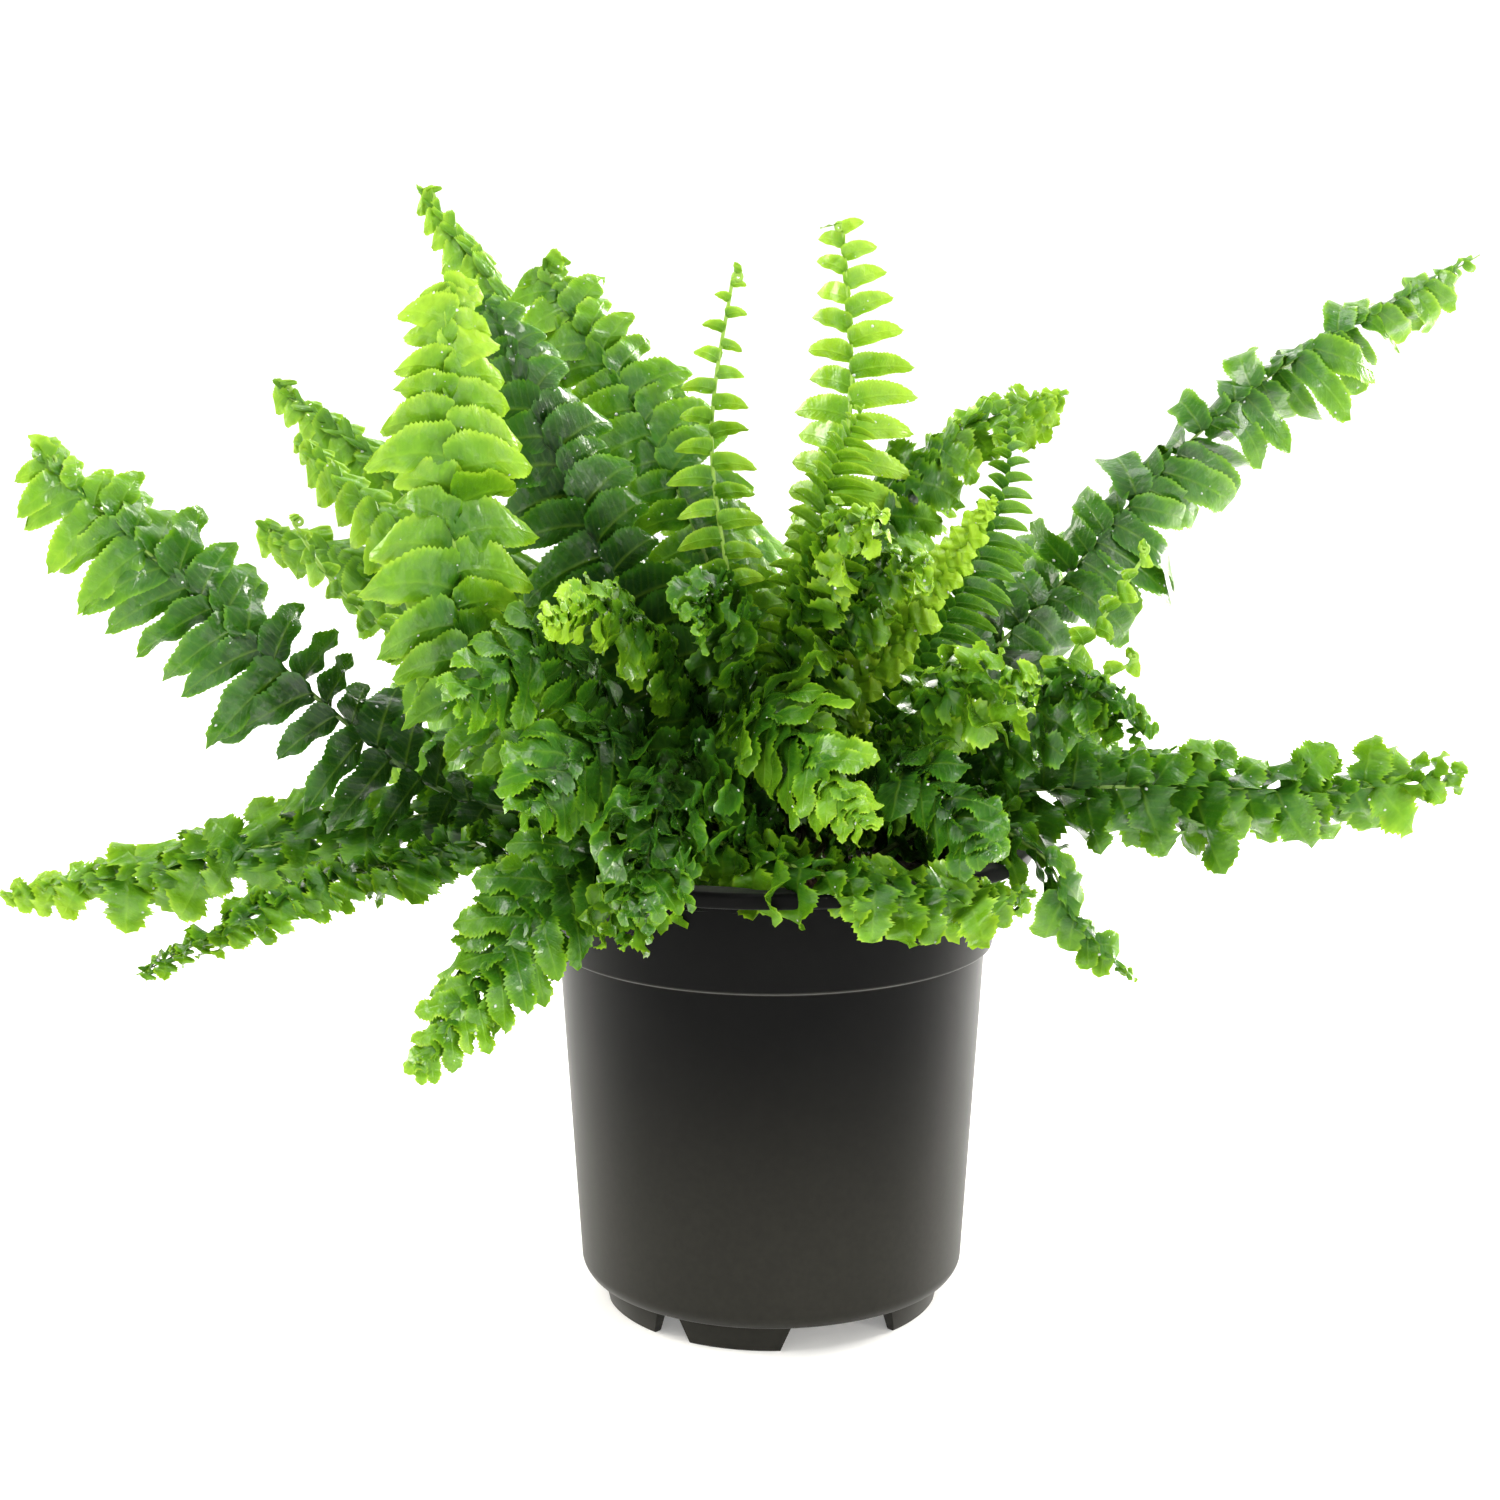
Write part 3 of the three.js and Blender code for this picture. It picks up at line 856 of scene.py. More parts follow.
@dataclass
class ScatterTool:
    """Strews small bits over a surface, each turned and sized at random, half sunk in it."""

    seed: int

    def strew(self, surface: bpy.types.Object, bit: bpy.types.Object, name: str, density: float,
              sizes: tuple[float, float], upright: bool, finish: bpy.types.Material) -> bpy.types.Object:
        """Strew copies of a bit.

        Args:
            surface: The mesh to cover; it is used up.
            bit: The shape that is repeated.
            name: Name of the finished piece.
            density: Bits per square metre.
            sizes: Smallest and largest scale.
            upright: Whether the bits stand on the surface instead of lying anyhow.
            finish: Their material.

        Returns:
            The strewn bits as one mesh.
        """
        tool = NodeTool(f"strew_{name}")
        given = tool.inputs({"Bit": "NodeSocketObject", "Density": "NodeSocketFloat", "Smallest": "NodeSocketFloat",
                             "Largest": "NodeSocketFloat", "Seed": "NodeSocketInt", "Finish": "NodeSocketMaterial"})
        wire = tool.wire
        spread = wire.add("GeometryNodeDistributePointsOnFaces", {"Mesh": given["Geometry"], "Density": given["Density"],
                                                                  "Seed": given["Seed"]})
        index = wire.add("GeometryNodeInputIndex").outputs[0]
        size = tool.chance(given["Smallest"], given["Largest"], given["Seed"], 3, index)
        turns = [tool.chance(0.0, 6.283 if axis == 2 or not upright else 0.5, given["Seed"], 5 + axis, index)
                 for axis in range(3)]
        turn = wire.add("ShaderNodeCombineXYZ", dict(enumerate(turns))).outputs[0]
        rotation = wire.add("FunctionNodeEulerToRotation", {0: turn}).outputs[0]
        shape = wire.add("GeometryNodeObjectInfo", {"Object": given["Bit"]})
        placed = wire.add("GeometryNodeInstanceOnPoints", {"Points": spread.outputs["Points"],
                                                           "Instance": shape.outputs["Geometry"],
                                                           "Rotation": rotation, "Scale": size})
        real = wire.add("GeometryNodeRealizeInstances", {0: placed.outputs[0]})
        dressed = wire.add("GeometryNodeSetMaterial", {"Geometry": real.outputs[0], "Material": given["Finish"]})
        wire.feed(wire.add("NodeGroupOutput").inputs[0], dressed.outputs[0])
        return tool.apply(surface, name, {"Bit": bit, "Density": density, "Smallest": sizes[0], "Largest": sizes[1],
                                          "Seed": self.seed, "Finish": finish})


def lump(name: str, detail: int, stretch: Point, seed: int) -> bpy.types.Object:
    """Make one uneven lump of unit size.

    Args:
        name: The object's name.
        detail: Subdivision of the ball that it starts from.
        stretch: Scale along each axis, in metres.
        seed: Where its unevenness is drawn from.

    Returns:
        The lump.
    """
    shape = bmesh.new()
    bmesh.ops.create_icosphere(shape, subdivisions=detail, radius=1.0)
    for vert in shape.verts:
        push = 1.0 + 0.45 * noise.noise(vert.co * 1.3 + Vector((seed, 0.0, 0.0)))
        vert.co = Vector((vert.co.x * stretch[0], vert.co.y * stretch[1], vert.co.z * stretch[2])) * push
    for face in shape.faces:
        face.smooth = True
    mesh = bpy.data.meshes.new(name)
    shape.to_mesh(mesh)
    shape.free()
    piece = bpy.data.objects.new(name, mesh)
    bpy.context.scene.collection.objects.link(piece)
    return piece


def turned_lumpy(name: str, profile: Sequence[tuple[float, float, float]], segments: int, grain: float) -> bpy.types.Object:
    """Turn a closed outline and roughen it.

    Args:
        name: The object's name.
        profile: Radius, height and roughness triples in millimetres, from axis to axis.
        segments: Steps round the axis.
        grain: Size of the lumps in millimetres.

    Returns:
        The closed, lumpy solid.
    """
    points: list[Vector] = []
    faces: list[tuple[int, ...]] = []
    inner = profile[1:-1]
    for i in range(segments):
        turn = 2.0 * math.pi * i / segments
        for r, z, rough in inner:
            spot = Vector((r * math.cos(turn), r * math.sin(turn), z))
            push = noise.fractal(spot / grain, 1.0, 2.0, 4) * rough
            points.append(Vector((spot.x, spot.y, spot.z + push)) * MM)
    for r, z, rough in (profile[0], profile[-1]):
        points.append(Vector((0.0, 0.0, z + noise.fractal(Vector((0, 0, z)) / grain, 1.0, 2.0, 4) * rough)) * MM)
    depth = len(inner)
    first, last = len(points) - 2, len(points) - 1
    for i in range(segments):
        here, there = i * depth, ((i + 1) % segments) * depth
        faces += [(here + k, there + k, there + k + 1, here + k + 1) for k in range(depth - 1)]
        faces += [(first, there, here), (last, here + depth - 1, there + depth - 1)]
    piece = mesh_object(name, points, faces)
    tidy_normals(piece, 180.0)
    return piece


@dataclass
class PottingSoil:
    """Damp peat mix that fills the pot, with crumbs and a few pale grains on top."""

    top_z: float = 93.5
    edge_z: float = 91.5
    radius: float = 47.7
    floor_z: float = 8.9
    grain: float = 5.0
    crumbs: float = 52000.0
    pale_grains: float = 9000.0

    def top(self, steps: int = 26) -> list[tuple[float, float, float]]:
        """List the outline of the soil's top from its edge to the axis.

        Args:
            steps: Number of steps.

        Returns:
            Radius, height and roughness triples.
        """
        rows = []
        for i in range(steps + 1):
            r = self.radius * (1.0 - i / steps)
            rise = 1.0 - smooth(24.0, self.radius, r)
            rough = 1.6 * smooth(20.0, 27.0, r)
            rows.append((r, self.edge_z + (self.top_z - self.edge_z) * rise - 0.4 * smooth(24, 28, r), rough))
        return rows

    def build(self, finish: EarthFinish, pale: EarthFinish) -> None:
        """Build and dress the soil.

        Args:
            finish: The peat.
            pale: The pale grains.
        """
        below = [(0.0, self.floor_z, 0.0), (39.6, self.floor_z, 0.0), (40.8, self.floor_z + 2.2, 0.0),
                 (45.2, 80.0, 0.0), (46.9, 82.9, 0.0)]
        body = turned_lumpy("potting_mix", below + self.top(), 160, self.grain)
        earth = finish.material()
        body.data.materials.append(earth)
        crumb = lump("crumb", 1, (1.0 * MM, 0.8 * MM, 0.55 * MM), 3)
        strewn = ScatterTool(11).strew(self.cover(), crumb, "soil_crumbs", self.crumbs, (0.5, 1.5), False, earth)
        discard(crumb)
        grain = lump("grain", 1, (0.9 * MM, 0.9 * MM, 0.8 * MM), 8)
        white = ScatterTool(23).strew(self.cover(), grain, "pale_grains", self.pale_grains, (0.5, 1.2), False,
                                      pale.material())
        discard(grain)
        for piece in (body, strewn, white):
            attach(piece, "root")
        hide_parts("potting_soil")
        LOG.info("soil: %d faces", sum(len(p.data.polygons) for p in (body, strewn, white)))

    def cover(self) -> bpy.types.Object:
        """Make the ring of soil surface that the crumbs lie on."""
        rows = [row for row in self.top() if 24.5 < row[0] < self.radius - 1.0]
        points, faces = [], []
        segments = 64
        for i in range(segments):
            turn = 2.0 * math.pi * i / segments
            for r, z, rough in rows:
                spot = Vector((r * math.cos(turn), r * math.sin(turn), z))
                points.append(Vector((spot.x, spot.y, z + noise.fractal(spot / self.grain, 1.0, 2.0, 4) * rough)) * MM)
        depth = len(rows)
        for i in range(segments):
            here, there = i * depth, ((i + 1) % segments) * depth
            faces += [(here + k, there + k, there + k + 1, here + k + 1) for k in range(depth - 1)]
        return mesh_object("soil_cover", points, faces)


@dataclass
class Crown:
    """The knot of rhizome: a low scaly dome with the stubs of old stalks."""

    radius: float = 22.5
    bottom_z: float = 93.8
    top_z: float = 97.5

    def dome(self) -> list[tuple[float, float, float]]:
        """List the crown's outline with its roughness."""
        rows = [(0.0, self.bottom_z, 0.0), (self.radius - 0.4, self.bottom_z, 0.0)]
        for i in range(15):
            r = self.radius * (1.0 - i / 14.0)
            drop = (1.0 - math.sqrt(max(0.0, 1.0 - (r / (self.radius + 0.3)) ** 6))) * (self.top_z - self.bottom_z)
            rows.append((r, max(self.top_z - drop, self.bottom_z + 0.8) - 0.3, 0.7))
        return rows

    def build(self, finish: EarthFinish) -> None:
        """Build and dress the crown.

        Args:
            finish: Its fibrous brown.
        """
        body = turned_lumpy("rhizome_crown", self.dome(), 96, 2.6)
        brown = finish.material()
        body.data.materials.append(brown)
        stub = lump("stub", 1, (0.55 * MM, 0.55 * MM, 2.2 * MM), 5)
        cover = turned_lumpy("crown_cover", [row for row in self.dome() if row[1] > self.bottom_z + 1.0 or row[0] == 0.0],
                             48, 2.6)
        stubs = ScatterTool(31).strew(cover, stub, "old_stalks", 90000.0, (0.5, 1.1), True, brown)
        discard(stub)
        for piece in (body, stubs):
            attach(piece, "root")
        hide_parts("crown")
        LOG.info("crown: %d faces", len(body.data.polygons) + len(stubs.data.polygons))


# ------------------------------------------------------------------ fronds


@dataclass(frozen=True)
class Leaflet:
    """One leaflet as a thin closed lens with a toothed edge, along +X from 0 to 1."""

    outline: tuple[tuple[float, float, float], ...]
    tip: tuple[float, float] = (1.0, 0.0)
    teeth: int = 17
    notch: float = 0.05
    thickness: float = 0.035
    ragged: float = 0.0
    bow: float = 0.30

    def breadth(self, u: float) -> tuple[float, float]:
        """Give the half breadths.

        Args:
            u: Place along the leaflet, 0 to 1.

        Returns:
            Half breadth toward the frond's tip and toward its base, as shares of the leaflet's half width.
        """
        for (u0, a0, b0), (u1, a1, b1) in zip(self.outline, self.outline[1:]):
            if u <= u1:
                t = smooth(u0, u1, u)
                return a0 + (a1 - a0) * t, b0 + (b1 - b0) * t
        return self.outline[-1][1:]

    def build(self, name: str, mirrored: bool) -> bpy.types.Object:
        """Build the leaflet.

        Args:
            name: The object's name.
            mirrored: Whether its faces are wound for the left side of a frond.

        Returns:
            A mesh that carries its own coordinates and its margin as attributes.
        """
        chance = random.Random(5)
        points: list[Point] = []
        margin: list[float] = []
        edges: tuple[list[int], list[int]] = ([], [])
        ridges: tuple[list[int], list[int]] = ([], [])
        for i in range(2 * self.teeth + 1):
            u = i / (2 * self.teeth + 0.7)
            tooth = (i % 2) * 2 - 1
            breadths = self.breadth(u)
            falling = -self.bow * u * u
            for edge, wide, way in zip(edges, breadths, (1.0, -1.0)):
                wide *= 1.0 + self.notch * tooth + self.ragged * chance.uniform(-1.0, 1.0)
                edge.append(len(points))
                points.append((u + 0.009 * tooth, way * wide + falling, 0.0))
                margin.append(1.0)
            if i % 2 == 0:
                for ridge, lift in zip(ridges, (1.0, -1.0)):
                    ridge.append(len(points))
                    points.append((u, falling + 0.22 * (breadths[0] - breadths[1]),
                                   lift * self.thickness * (1.0 - 0.6 * u)))
                    margin.append(0.0)
        tip = len(points)
        points.append((*self.tip, 0.0))
        margin.append(1.0)
        shell = bmesh.new()
        verts = [shell.verts.new(p) for p in points]
        for edge in edges:
            for ridge in ridges:
                for k in range(self.teeth):
                    ring = (ridge[k], *edge[2 * k:2 * k + 3], ridge[k + 1])
                    shell.faces.new([verts[n] for n in ring])
                shell.faces.new([verts[n] for n in (ridge[-1], edge[-1], tip)])
        shell.faces.new([verts[n] for n in (ridges[0][0], edges[0][0], ridges[1][0], edges[1][0])])
        for face in shell.faces:
            face.smooth = True
        bmesh.ops.recalc_face_normals(shell, faces=shell.faces)
        if mirrored:
            bmesh.ops.reverse_faces(shell, faces=shell.faces)
        shell.verts.index_update()
        for edge in shell.edges:
            edge.smooth = not all(margin[vert.index] == 1.0 for vert in edge.verts)
        mesh = bpy.data.meshes.new(name)
        shell.to_mesh(mesh)
        shell.free()
        mesh.attributes.new("leaf_xyz", "FLOAT_VECTOR", "POINT").data.foreach_set("vector", [c for p in points for c in p])
        mesh.attributes.new("margin", "FLOAT", "POINT").data.foreach_set("value", margin)
        piece = bpy.data.objects.new(name, mesh)
        bpy.context.scene.collection.objects.link(piece)
        return piece


class Cut(Enum):
    """The outlines of leaflets on this plant."""

    ARCHED = Leaflet(outline=((0.0, 0.60, 0.30), (0.05, 1.20, 0.52), (0.18, 1.42, 0.64), (0.38, 1.40, 0.66),
                              (0.60, 1.26, 0.62), (0.78, 1.02, 0.52), (0.91, 0.68, 0.36), (1.0, 0.22, 0.14)),
                     tip=(1.035, -0.32), notch=0.038)
    OBLONG = Leaflet(outline=((0.0, 0.50, 0.35), (0.06, 0.98, 0.70), (0.20, 1.08, 0.90), (0.50, 1.0, 0.98),
                              (0.78, 0.98, 0.92), (0.91, 0.78, 0.72), (1.0, 0.40, 0.36)), tip=(1.02, -0.24), bow=0.20)
    TORN = Leaflet(outline=((0.0, 0.45, 0.30), (0.08, 1.10, 0.62), (0.20, 1.22, 0.88), (0.32, 1.06, 0.92),
                            (0.45, 1.16, 0.84), (0.60, 1.02, 0.94), (0.74, 0.94, 0.78), (0.86, 0.74, 0.66),
                            (0.95, 0.46, 0.36), (1.0, 0.22, 0.16)), tip=(1.02, -0.18), notch=0.085, ragged=0.045, bow=0.20)


@dataclass(frozen=True)
class Habit:
    """How the leaflets of a frond stand: sizes in millimetres, angles in degrees, the rest as shares."""

    pitch: float
    half_width: float
    crowding: float = 1.3
    sweep: float = 16.0
    lean: float = 22.0
    droop: float = 10.0
    twist: float = 14.0
    curl: float = 0.4
    sag: float = 0.22
    cup: float = -0.22
    ruffle: float = 0.10
    lobes: float = 0.0
    waves: float = 2.2
    scatter: float = 7.0
    bare: float = 0.08
    fullness: float = 3.0
    rise: float = 0.22
    cut: Cut = Cut.ARCHED


class Growth(Enum):
    """The ways in which the fronds of this plant grow."""

    LADDER = Habit(pitch=6.6, half_width=5.2, sweep=8, lean=30, droop=8, sag=0.32, cup=-0.14, scatter=11, fullness=5.5)
    SHINGLED = Habit(pitch=6.5, half_width=5.2, sweep=10, lean=24, droop=8, twist=18, sag=0.30, cup=-0.14, ruffle=0.16,
                     scatter=15, fullness=7.0, rise=0.60)
    ARCHING = Habit(pitch=6.3, half_width=4.9, sweep=6, lean=26, droop=5, twist=18, sag=0.20, cup=-0.14, ruffle=0.22,
                    scatter=17, fullness=4.2, rise=0.80)
    PLUME = Habit(pitch=3.9, half_width=3.0, crowding=1.2, sweep=30, lean=34, droop=-8, twist=16, curl=0.3, sag=-0.05,
                  cup=-0.3, ruffle=0.26, scatter=16, fullness=5.0)
    FEATHER = Habit(pitch=4.5, half_width=3.7, crowding=1.15, sweep=34, lean=22, droop=2, twist=18, curl=0.4, sag=0.10,
                    cup=-0.1, ruffle=0.30, lobes=0.10, waves=1.8, scatter=14, bare=0.05, fullness=3.4, cut=Cut.TORN)
    RUFFLED = Habit(pitch=4.9, half_width=4.2, crowding=1.1, droop=10, twist=26, curl=0.8, sag=0.24, cup=0.08,
                    ruffle=0.42, lobes=0.14, waves=1.9, scatter=24, bare=0.03, fullness=6.0, cut=Cut.TORN)
    BROAD = Habit(pitch=6.2, half_width=4.6, crowding=1.1, sweep=30, lean=26, droop=6, twist=20, curl=0.4, sag=0.16,
                  cup=-0.1, ruffle=0.28, lobes=0.08, waves=1.4, scatter=15, bare=0.10, fullness=7.0, cut=Cut.TORN)
    YOUNG = Habit(pitch=6.4, half_width=3.8, crowding=1.1, sweep=8, lean=26, droop=16, twist=14, curl=0.2,
                  sag=0.16, cup=-0.2, ruffle=0.12, scatter=8, bare=0.40, fullness=2.0)
    SPRIG = Habit(pitch=6.2, half_width=2.3, crowding=1.0, sweep=6, lean=20, droop=-4, twist=16, curl=0.3,
                  sag=0.24, cup=-0.2, ruffle=0.14, scatter=14, bare=0.35, fullness=2.2)
    TENDER = Habit(pitch=9.0, half_width=3.6, crowding=1.0, sweep=26, lean=10, droop=4, twist=16, curl=0.3, sag=0.12,
                   cup=-0.2, ruffle=0.12, scatter=14, bare=0.38, fullness=2.0)
    CRESCENT = Habit(pitch=3.7, half_width=2.1, crowding=1.1, sweep=24, lean=16, droop=2, twist=30, curl=0.3,
                     sag=0.35, ruffle=0.05, scatter=6)
    TWISTED = Habit(pitch=5.2, half_width=4.1, crowding=1.15, sweep=14, lean=30, droop=14, twist=30, curl=1.1, sag=0.24,
                    cup=0.05, ruffle=0.22, lobes=0.05, waves=1.4, scatter=26, fullness=3.2, cut=Cut.OBLONG)
    LEAFY = Habit(pitch=5.6, half_width=4.7, crowding=1.1, sweep=6, lean=30, droop=4, twist=30, curl=0.7, sag=0.06,
                  ruffle=0.34, lobes=0.14, waves=1.7, scatter=24, fullness=6.0, cut=Cut.TORN)


class FrondTree(NodeTool):
    """Grows one frond on its path: the midrib as a tapering tube, and leaflets to its left and right."""

    NUMBERS = ("Roll at Base", "Roll at Tip", "Leaflet Length", "Leaflet Half Width", "Crowding", "Bare Stalk",
               "Leafy End", "Stalk Radius", "Stalk Tip", "Sweep", "Lean", "Droop", "Twist", "Curl", "Sag", "Cup",
               "Ruffle", "Lobes", "Waves", "Scatter", "Fullness", "Rise", "Youth at Base", "Youth at Tip", "Beads")

    def __init__(self) -> None:
        """Build the whole tree once."""
        super().__init__("frond_growth")
        kinds = {"Side": "NodeSocketVector", "Leaflets": "NodeSocketInt", "Seed": "NodeSocketInt",
                 "Right Leaflet": "NodeSocketObject", "Left Leaflet": "NodeSocketObject",
                 "Bead": "NodeSocketObject", "Leaf Finish": "NodeSocketMaterial",
                 "Stem Finish": "NodeSocketMaterial", "Water": "NodeSocketMaterial"}
        kinds.update({name: "NodeSocketFloat" for name in self.NUMBERS})
        given = self.inputs(kinds)
        wire = self.wire
        factor = wire.add("GeometryNodeSplineParameter").outputs["Factor"]
        path = self.store(given["Geometry"], "along", factor)
        stalk = self.stalk(path, given)
        leaves = self.leaves(path, given)
        joined = wire.add("GeometryNodeJoinGeometry")
        for part in (stalk, leaves, self.beads(leaves, given)):
            wire.feed(joined.inputs[0], part)
        wire.feed(wire.add("NodeGroupOutput").inputs[0], joined.outputs[0])

    def stalk(self, path: bpy.types.NodeSocket, given: bpy.types.NodeOutputs) -> bpy.types.NodeSocket:
        """Sweep the midrib.

        Args:
            path: The frond's path.
            given: The tree's named inputs.

        Returns:
            The dressed tube.
        """
        wire = self.wire
        thin = wire.lerp(1.0, given["Stalk Tip"], self.named("along"))
        youth_and_shade = wire.lerp(given["Youth at Base"], given["Youth at Tip"], self.named("along"))
        path = self.store(path, "mood", wire.add("ShaderNodeCombineXYZ", {0: youth_and_shade}).outputs[0], "FLOAT_VECTOR")
        sized = wire.add("GeometryNodeSetCurveRadius",
                         {"Curve": path, "Radius": wire.math("MULTIPLY", given["Stalk Radius"], thin)})
        ring = wire.add("GeometryNodeCurvePrimitiveCircle", {"Resolution": 7, "Radius": 1.0}, mode="RADIUS")
        tube = wire.add("GeometryNodeCurveToMesh", {"Curve": sized.outputs[0], "Profile Curve": ring.outputs[0],
                                                    "Fill Caps": True})
        if "Scale" in tube.inputs:
            wire.feed(tube.inputs["Scale"], self.named("radius"))
        soft = wire.add("GeometryNodeSetShadeSmooth", {0: tube.outputs[0]})
        return wire.add("GeometryNodeSetMaterial", {"Geometry": soft.outputs[0],
                                                    "Material": given["Stem Finish"]}).outputs[0]

    def beads(self, leaves: bpy.types.NodeSocket, given: bpy.types.NodeOutputs) -> bpy.types.NodeSocket:
        """Leave beads of water on the leaflets.

        Args:
            leaves: The finished leaflets.
            given: The tree's named inputs.

        Returns:
            The dressed beads.
        """
        wire = self.wire
        spread = wire.add("GeometryNodeDistributePointsOnFaces", {"Mesh": leaves, "Density": given["Beads"],
                                                                  "Seed": given["Seed"]})
        index = wire.add("GeometryNodeInputIndex").outputs[0]
        draw = wire.math("POWER", self.chance(0.0, 1.0, given["Seed"], 11, index), 3.0)
        size = wire.math("ADD", 0.45, wire.math("MULTIPLY", draw, 1.0))
        shape = wire.add("GeometryNodeObjectInfo", {"Object": given["Bead"]})
        placed = wire.add("GeometryNodeInstanceOnPoints", {"Points": spread.outputs["Points"],
                                                           "Instance": shape.outputs["Geometry"],
                                                           "Rotation": spread.outputs["Rotation"], "Scale": size})
        real = wire.add("GeometryNodeRealizeInstances", {0: placed.outputs[0]})
        return wire.add("GeometryNodeSetMaterial", {"Geometry": real.outputs[0], "Material": given["Water"]}).outputs[0]

    def leaves(self, path: bpy.types.NodeSocket, given: bpy.types.NodeOutputs) -> bpy.types.NodeSocket:
        """Place the leaflets and bend each one.

        Args:
            path: The frond's path.
            given: The tree's named inputs.

        Returns:
            The dressed leaflets.
        """
        wire = self.wire
        index = wire.add("GeometryNodeInputIndex").outputs[0]
        t = wire.math("DIVIDE", wire.math("ADD", index, 0.5), given["Leaflets"])
        crowded = wire.math("SUBTRACT", 1.0, wire.math("POWER", wire.math("SUBTRACT", 1.0, t), given["Crowding"]))
        along = wire.lerp(given["Bare Stalk"], given["Leafy End"], crowded)
        dots = wire.add("GeometryNodePoints", {"Count": given["Leaflets"]}).outputs[0]
        dots = self.store(dots, "along", along)
        along = self.named("along")
        sample = wire.add("GeometryNodeSampleCurve", {"Curves": path, "Factor": along}, mode="FACTOR")
        forward = wire.vector("NORMALIZE", sample.outputs["Tangent"])
        up0 = wire.vector("NORMALIZE", wire.vector("CROSS_PRODUCT", given["Side"], forward))
        side0 = wire.vector("CROSS_PRODUCT", forward, up0)
        roll = wire.math("RADIANS", wire.lerp(given["Roll at Base"], given["Roll at Tip"], along))
        cos, sin = wire.math("COSINE", roll), wire.math("SINE", roll)
        side = wire.blend((side0, cos), (up0, sin))
        up = wire.vector("SUBTRACT", wire.vector("SCALE", up0, scale=cos), wire.vector("SCALE", side0, scale=sin))
        sign = wire.math("SUBTRACT", 1.0, wire.math("MULTIPLY", wire.math("FLOORED_MODULO", index, 2.0), 2.0))

        def angle(name: str, share: float, salt: int) -> bpy.types.NodeSocket:
            """Give a named angle in radians, scattered by a share of the tree's Scatter."""
            spread = wire.math("MULTIPLY", given["Scatter"], share)
            low = wire.math("SUBTRACT", given[name], spread)
            high = wire.math("ADD", given[name], spread)
            return wire.math("RADIANS", self.chance(low, high, given["Seed"], salt, index))

        sweep, droop, twist = angle("Sweep", 0.8, 1), angle("Droop", 1.0, 2), angle("Twist", 1.0, 3)
        lean = wire.math("MULTIPLY", given["Lean"], wire.math("POWER", along, 2.0))
        sweep = wire.math("ADD", sweep, wire.math("RADIANS", lean))
        reach = wire.blend((side, wire.math("MULTIPLY", sign, wire.math("COSINE", sweep))), (forward, wire.math("SINE", sweep)))
        axis_x = wire.vector("NORMALIZE", wire.blend((reach, wire.math("COSINE", droop)),
                                                     (up, wire.math("MULTIPLY", wire.math("SINE", droop), -1.0))))
        across = wire.vector("SUBTRACT", forward,
                             wire.vector("SCALE", axis_x, scale=wire.vector("DOT_PRODUCT", forward, axis_x)))
        across = wire.vector("NORMALIZE", across)
        above = wire.vector("SCALE", wire.vector("CROSS_PRODUCT", axis_x, across), scale=sign)
        cos, sin = wire.math("COSINE", twist), wire.math("SINE", twist)
        axis_y = wire.blend((across, cos), (above, sin))
        axis_z = wire.vector("SUBTRACT", wire.vector("SCALE", above, scale=cos), wire.vector("SCALE", across, scale=sin))

        rise = wire.add("ShaderNodeMapRange", {"Value": along, "From Min": given["Bare Stalk"],
                                               "From Max": wire.math("ADD", given["Bare Stalk"], given["Rise"]),
                                               "To Min": 0.45, "To Max": 1.0}, interpolation_type="SMOOTHSTEP").outputs[0]
        taper = wire.math("SUBTRACT", 1.0, wire.math("POWER", along, given["Fullness"]))
        taper = wire.math("ADD", wire.math("POWER", wire.math("MAXIMUM", taper, 0.0), 0.85), 0.14)
        shape = wire.math("MULTIPLY", rise, taper)
        spread = wire.math("MULTIPLY", given["Scatter"], 0.008)
        vary = self.chance(wire.math("SUBTRACT", 0.96, spread), wire.math("ADD", 1.04, spread), given["Seed"], 4, index)
        length = wire.math("MULTIPLY", wire.math("MULTIPLY", given["Leaflet Length"], shape), vary)
        wide = wire.math("MULTIPLY", wire.math("MULTIPLY", given["Leaflet Half Width"],
                                               wire.math("POWER", shape, 0.7)), vary)
        curl = wire.math("MULTIPLY", given["Curl"], self.chance(0.55, 1.45, given["Seed"], 5, index))
        # painted shade: darker toward the frond's base, deep inside the plant, as well as younger toward the tip
        youth_and_shade = wire.lerp(given["Youth at Base"], given["Youth at Tip"], wire.math("POWER", along, 1.6))
        youth_and_shade = wire.math("ADD", youth_and_shade, self.chance(-0.07, 0.07, given["Seed"], 6, index))
        mood = wire.add("ShaderNodeCombineXYZ", {0: youth_and_shade, 1: self.chance(0.0, 1.0, given["Seed"], 7, index),
                                                 2: self.chance(0.0, 1.0, given["Seed"], 8, index)}).outputs[0]
        size = wire.add("ShaderNodeCombineXYZ", {0: length, 1: wide, 2: curl}).outputs[0]
        anchor = wire.vector("ADD", sample.outputs["Position"],
                             wire.vector("SCALE", up, scale=wire.math("MULTIPLY", given["Stalk Radius"], 0.7)))
        for name, value in (("anchor", anchor), ("axis_x", axis_x), ("axis_y", axis_y),
                            ("axis_z", axis_z), ("size", size), ("mood", mood)):
            dots = self.store(dots, name, value, "FLOAT_VECTOR")
        real = self.planted(dots, index, given)
        moved = wire.add("GeometryNodeSetPosition", {"Geometry": real, "Position": self.bent(given)}).outputs[0]
        for name in ("anchor", "axis_x", "axis_y", "axis_z", "size"):
            moved = wire.add("GeometryNodeRemoveAttribute", {"Geometry": moved, "Name": name}).outputs[0]
        return wire.add("GeometryNodeSetMaterial", {"Geometry": moved, "Material": given["Leaf Finish"]}).outputs[0]

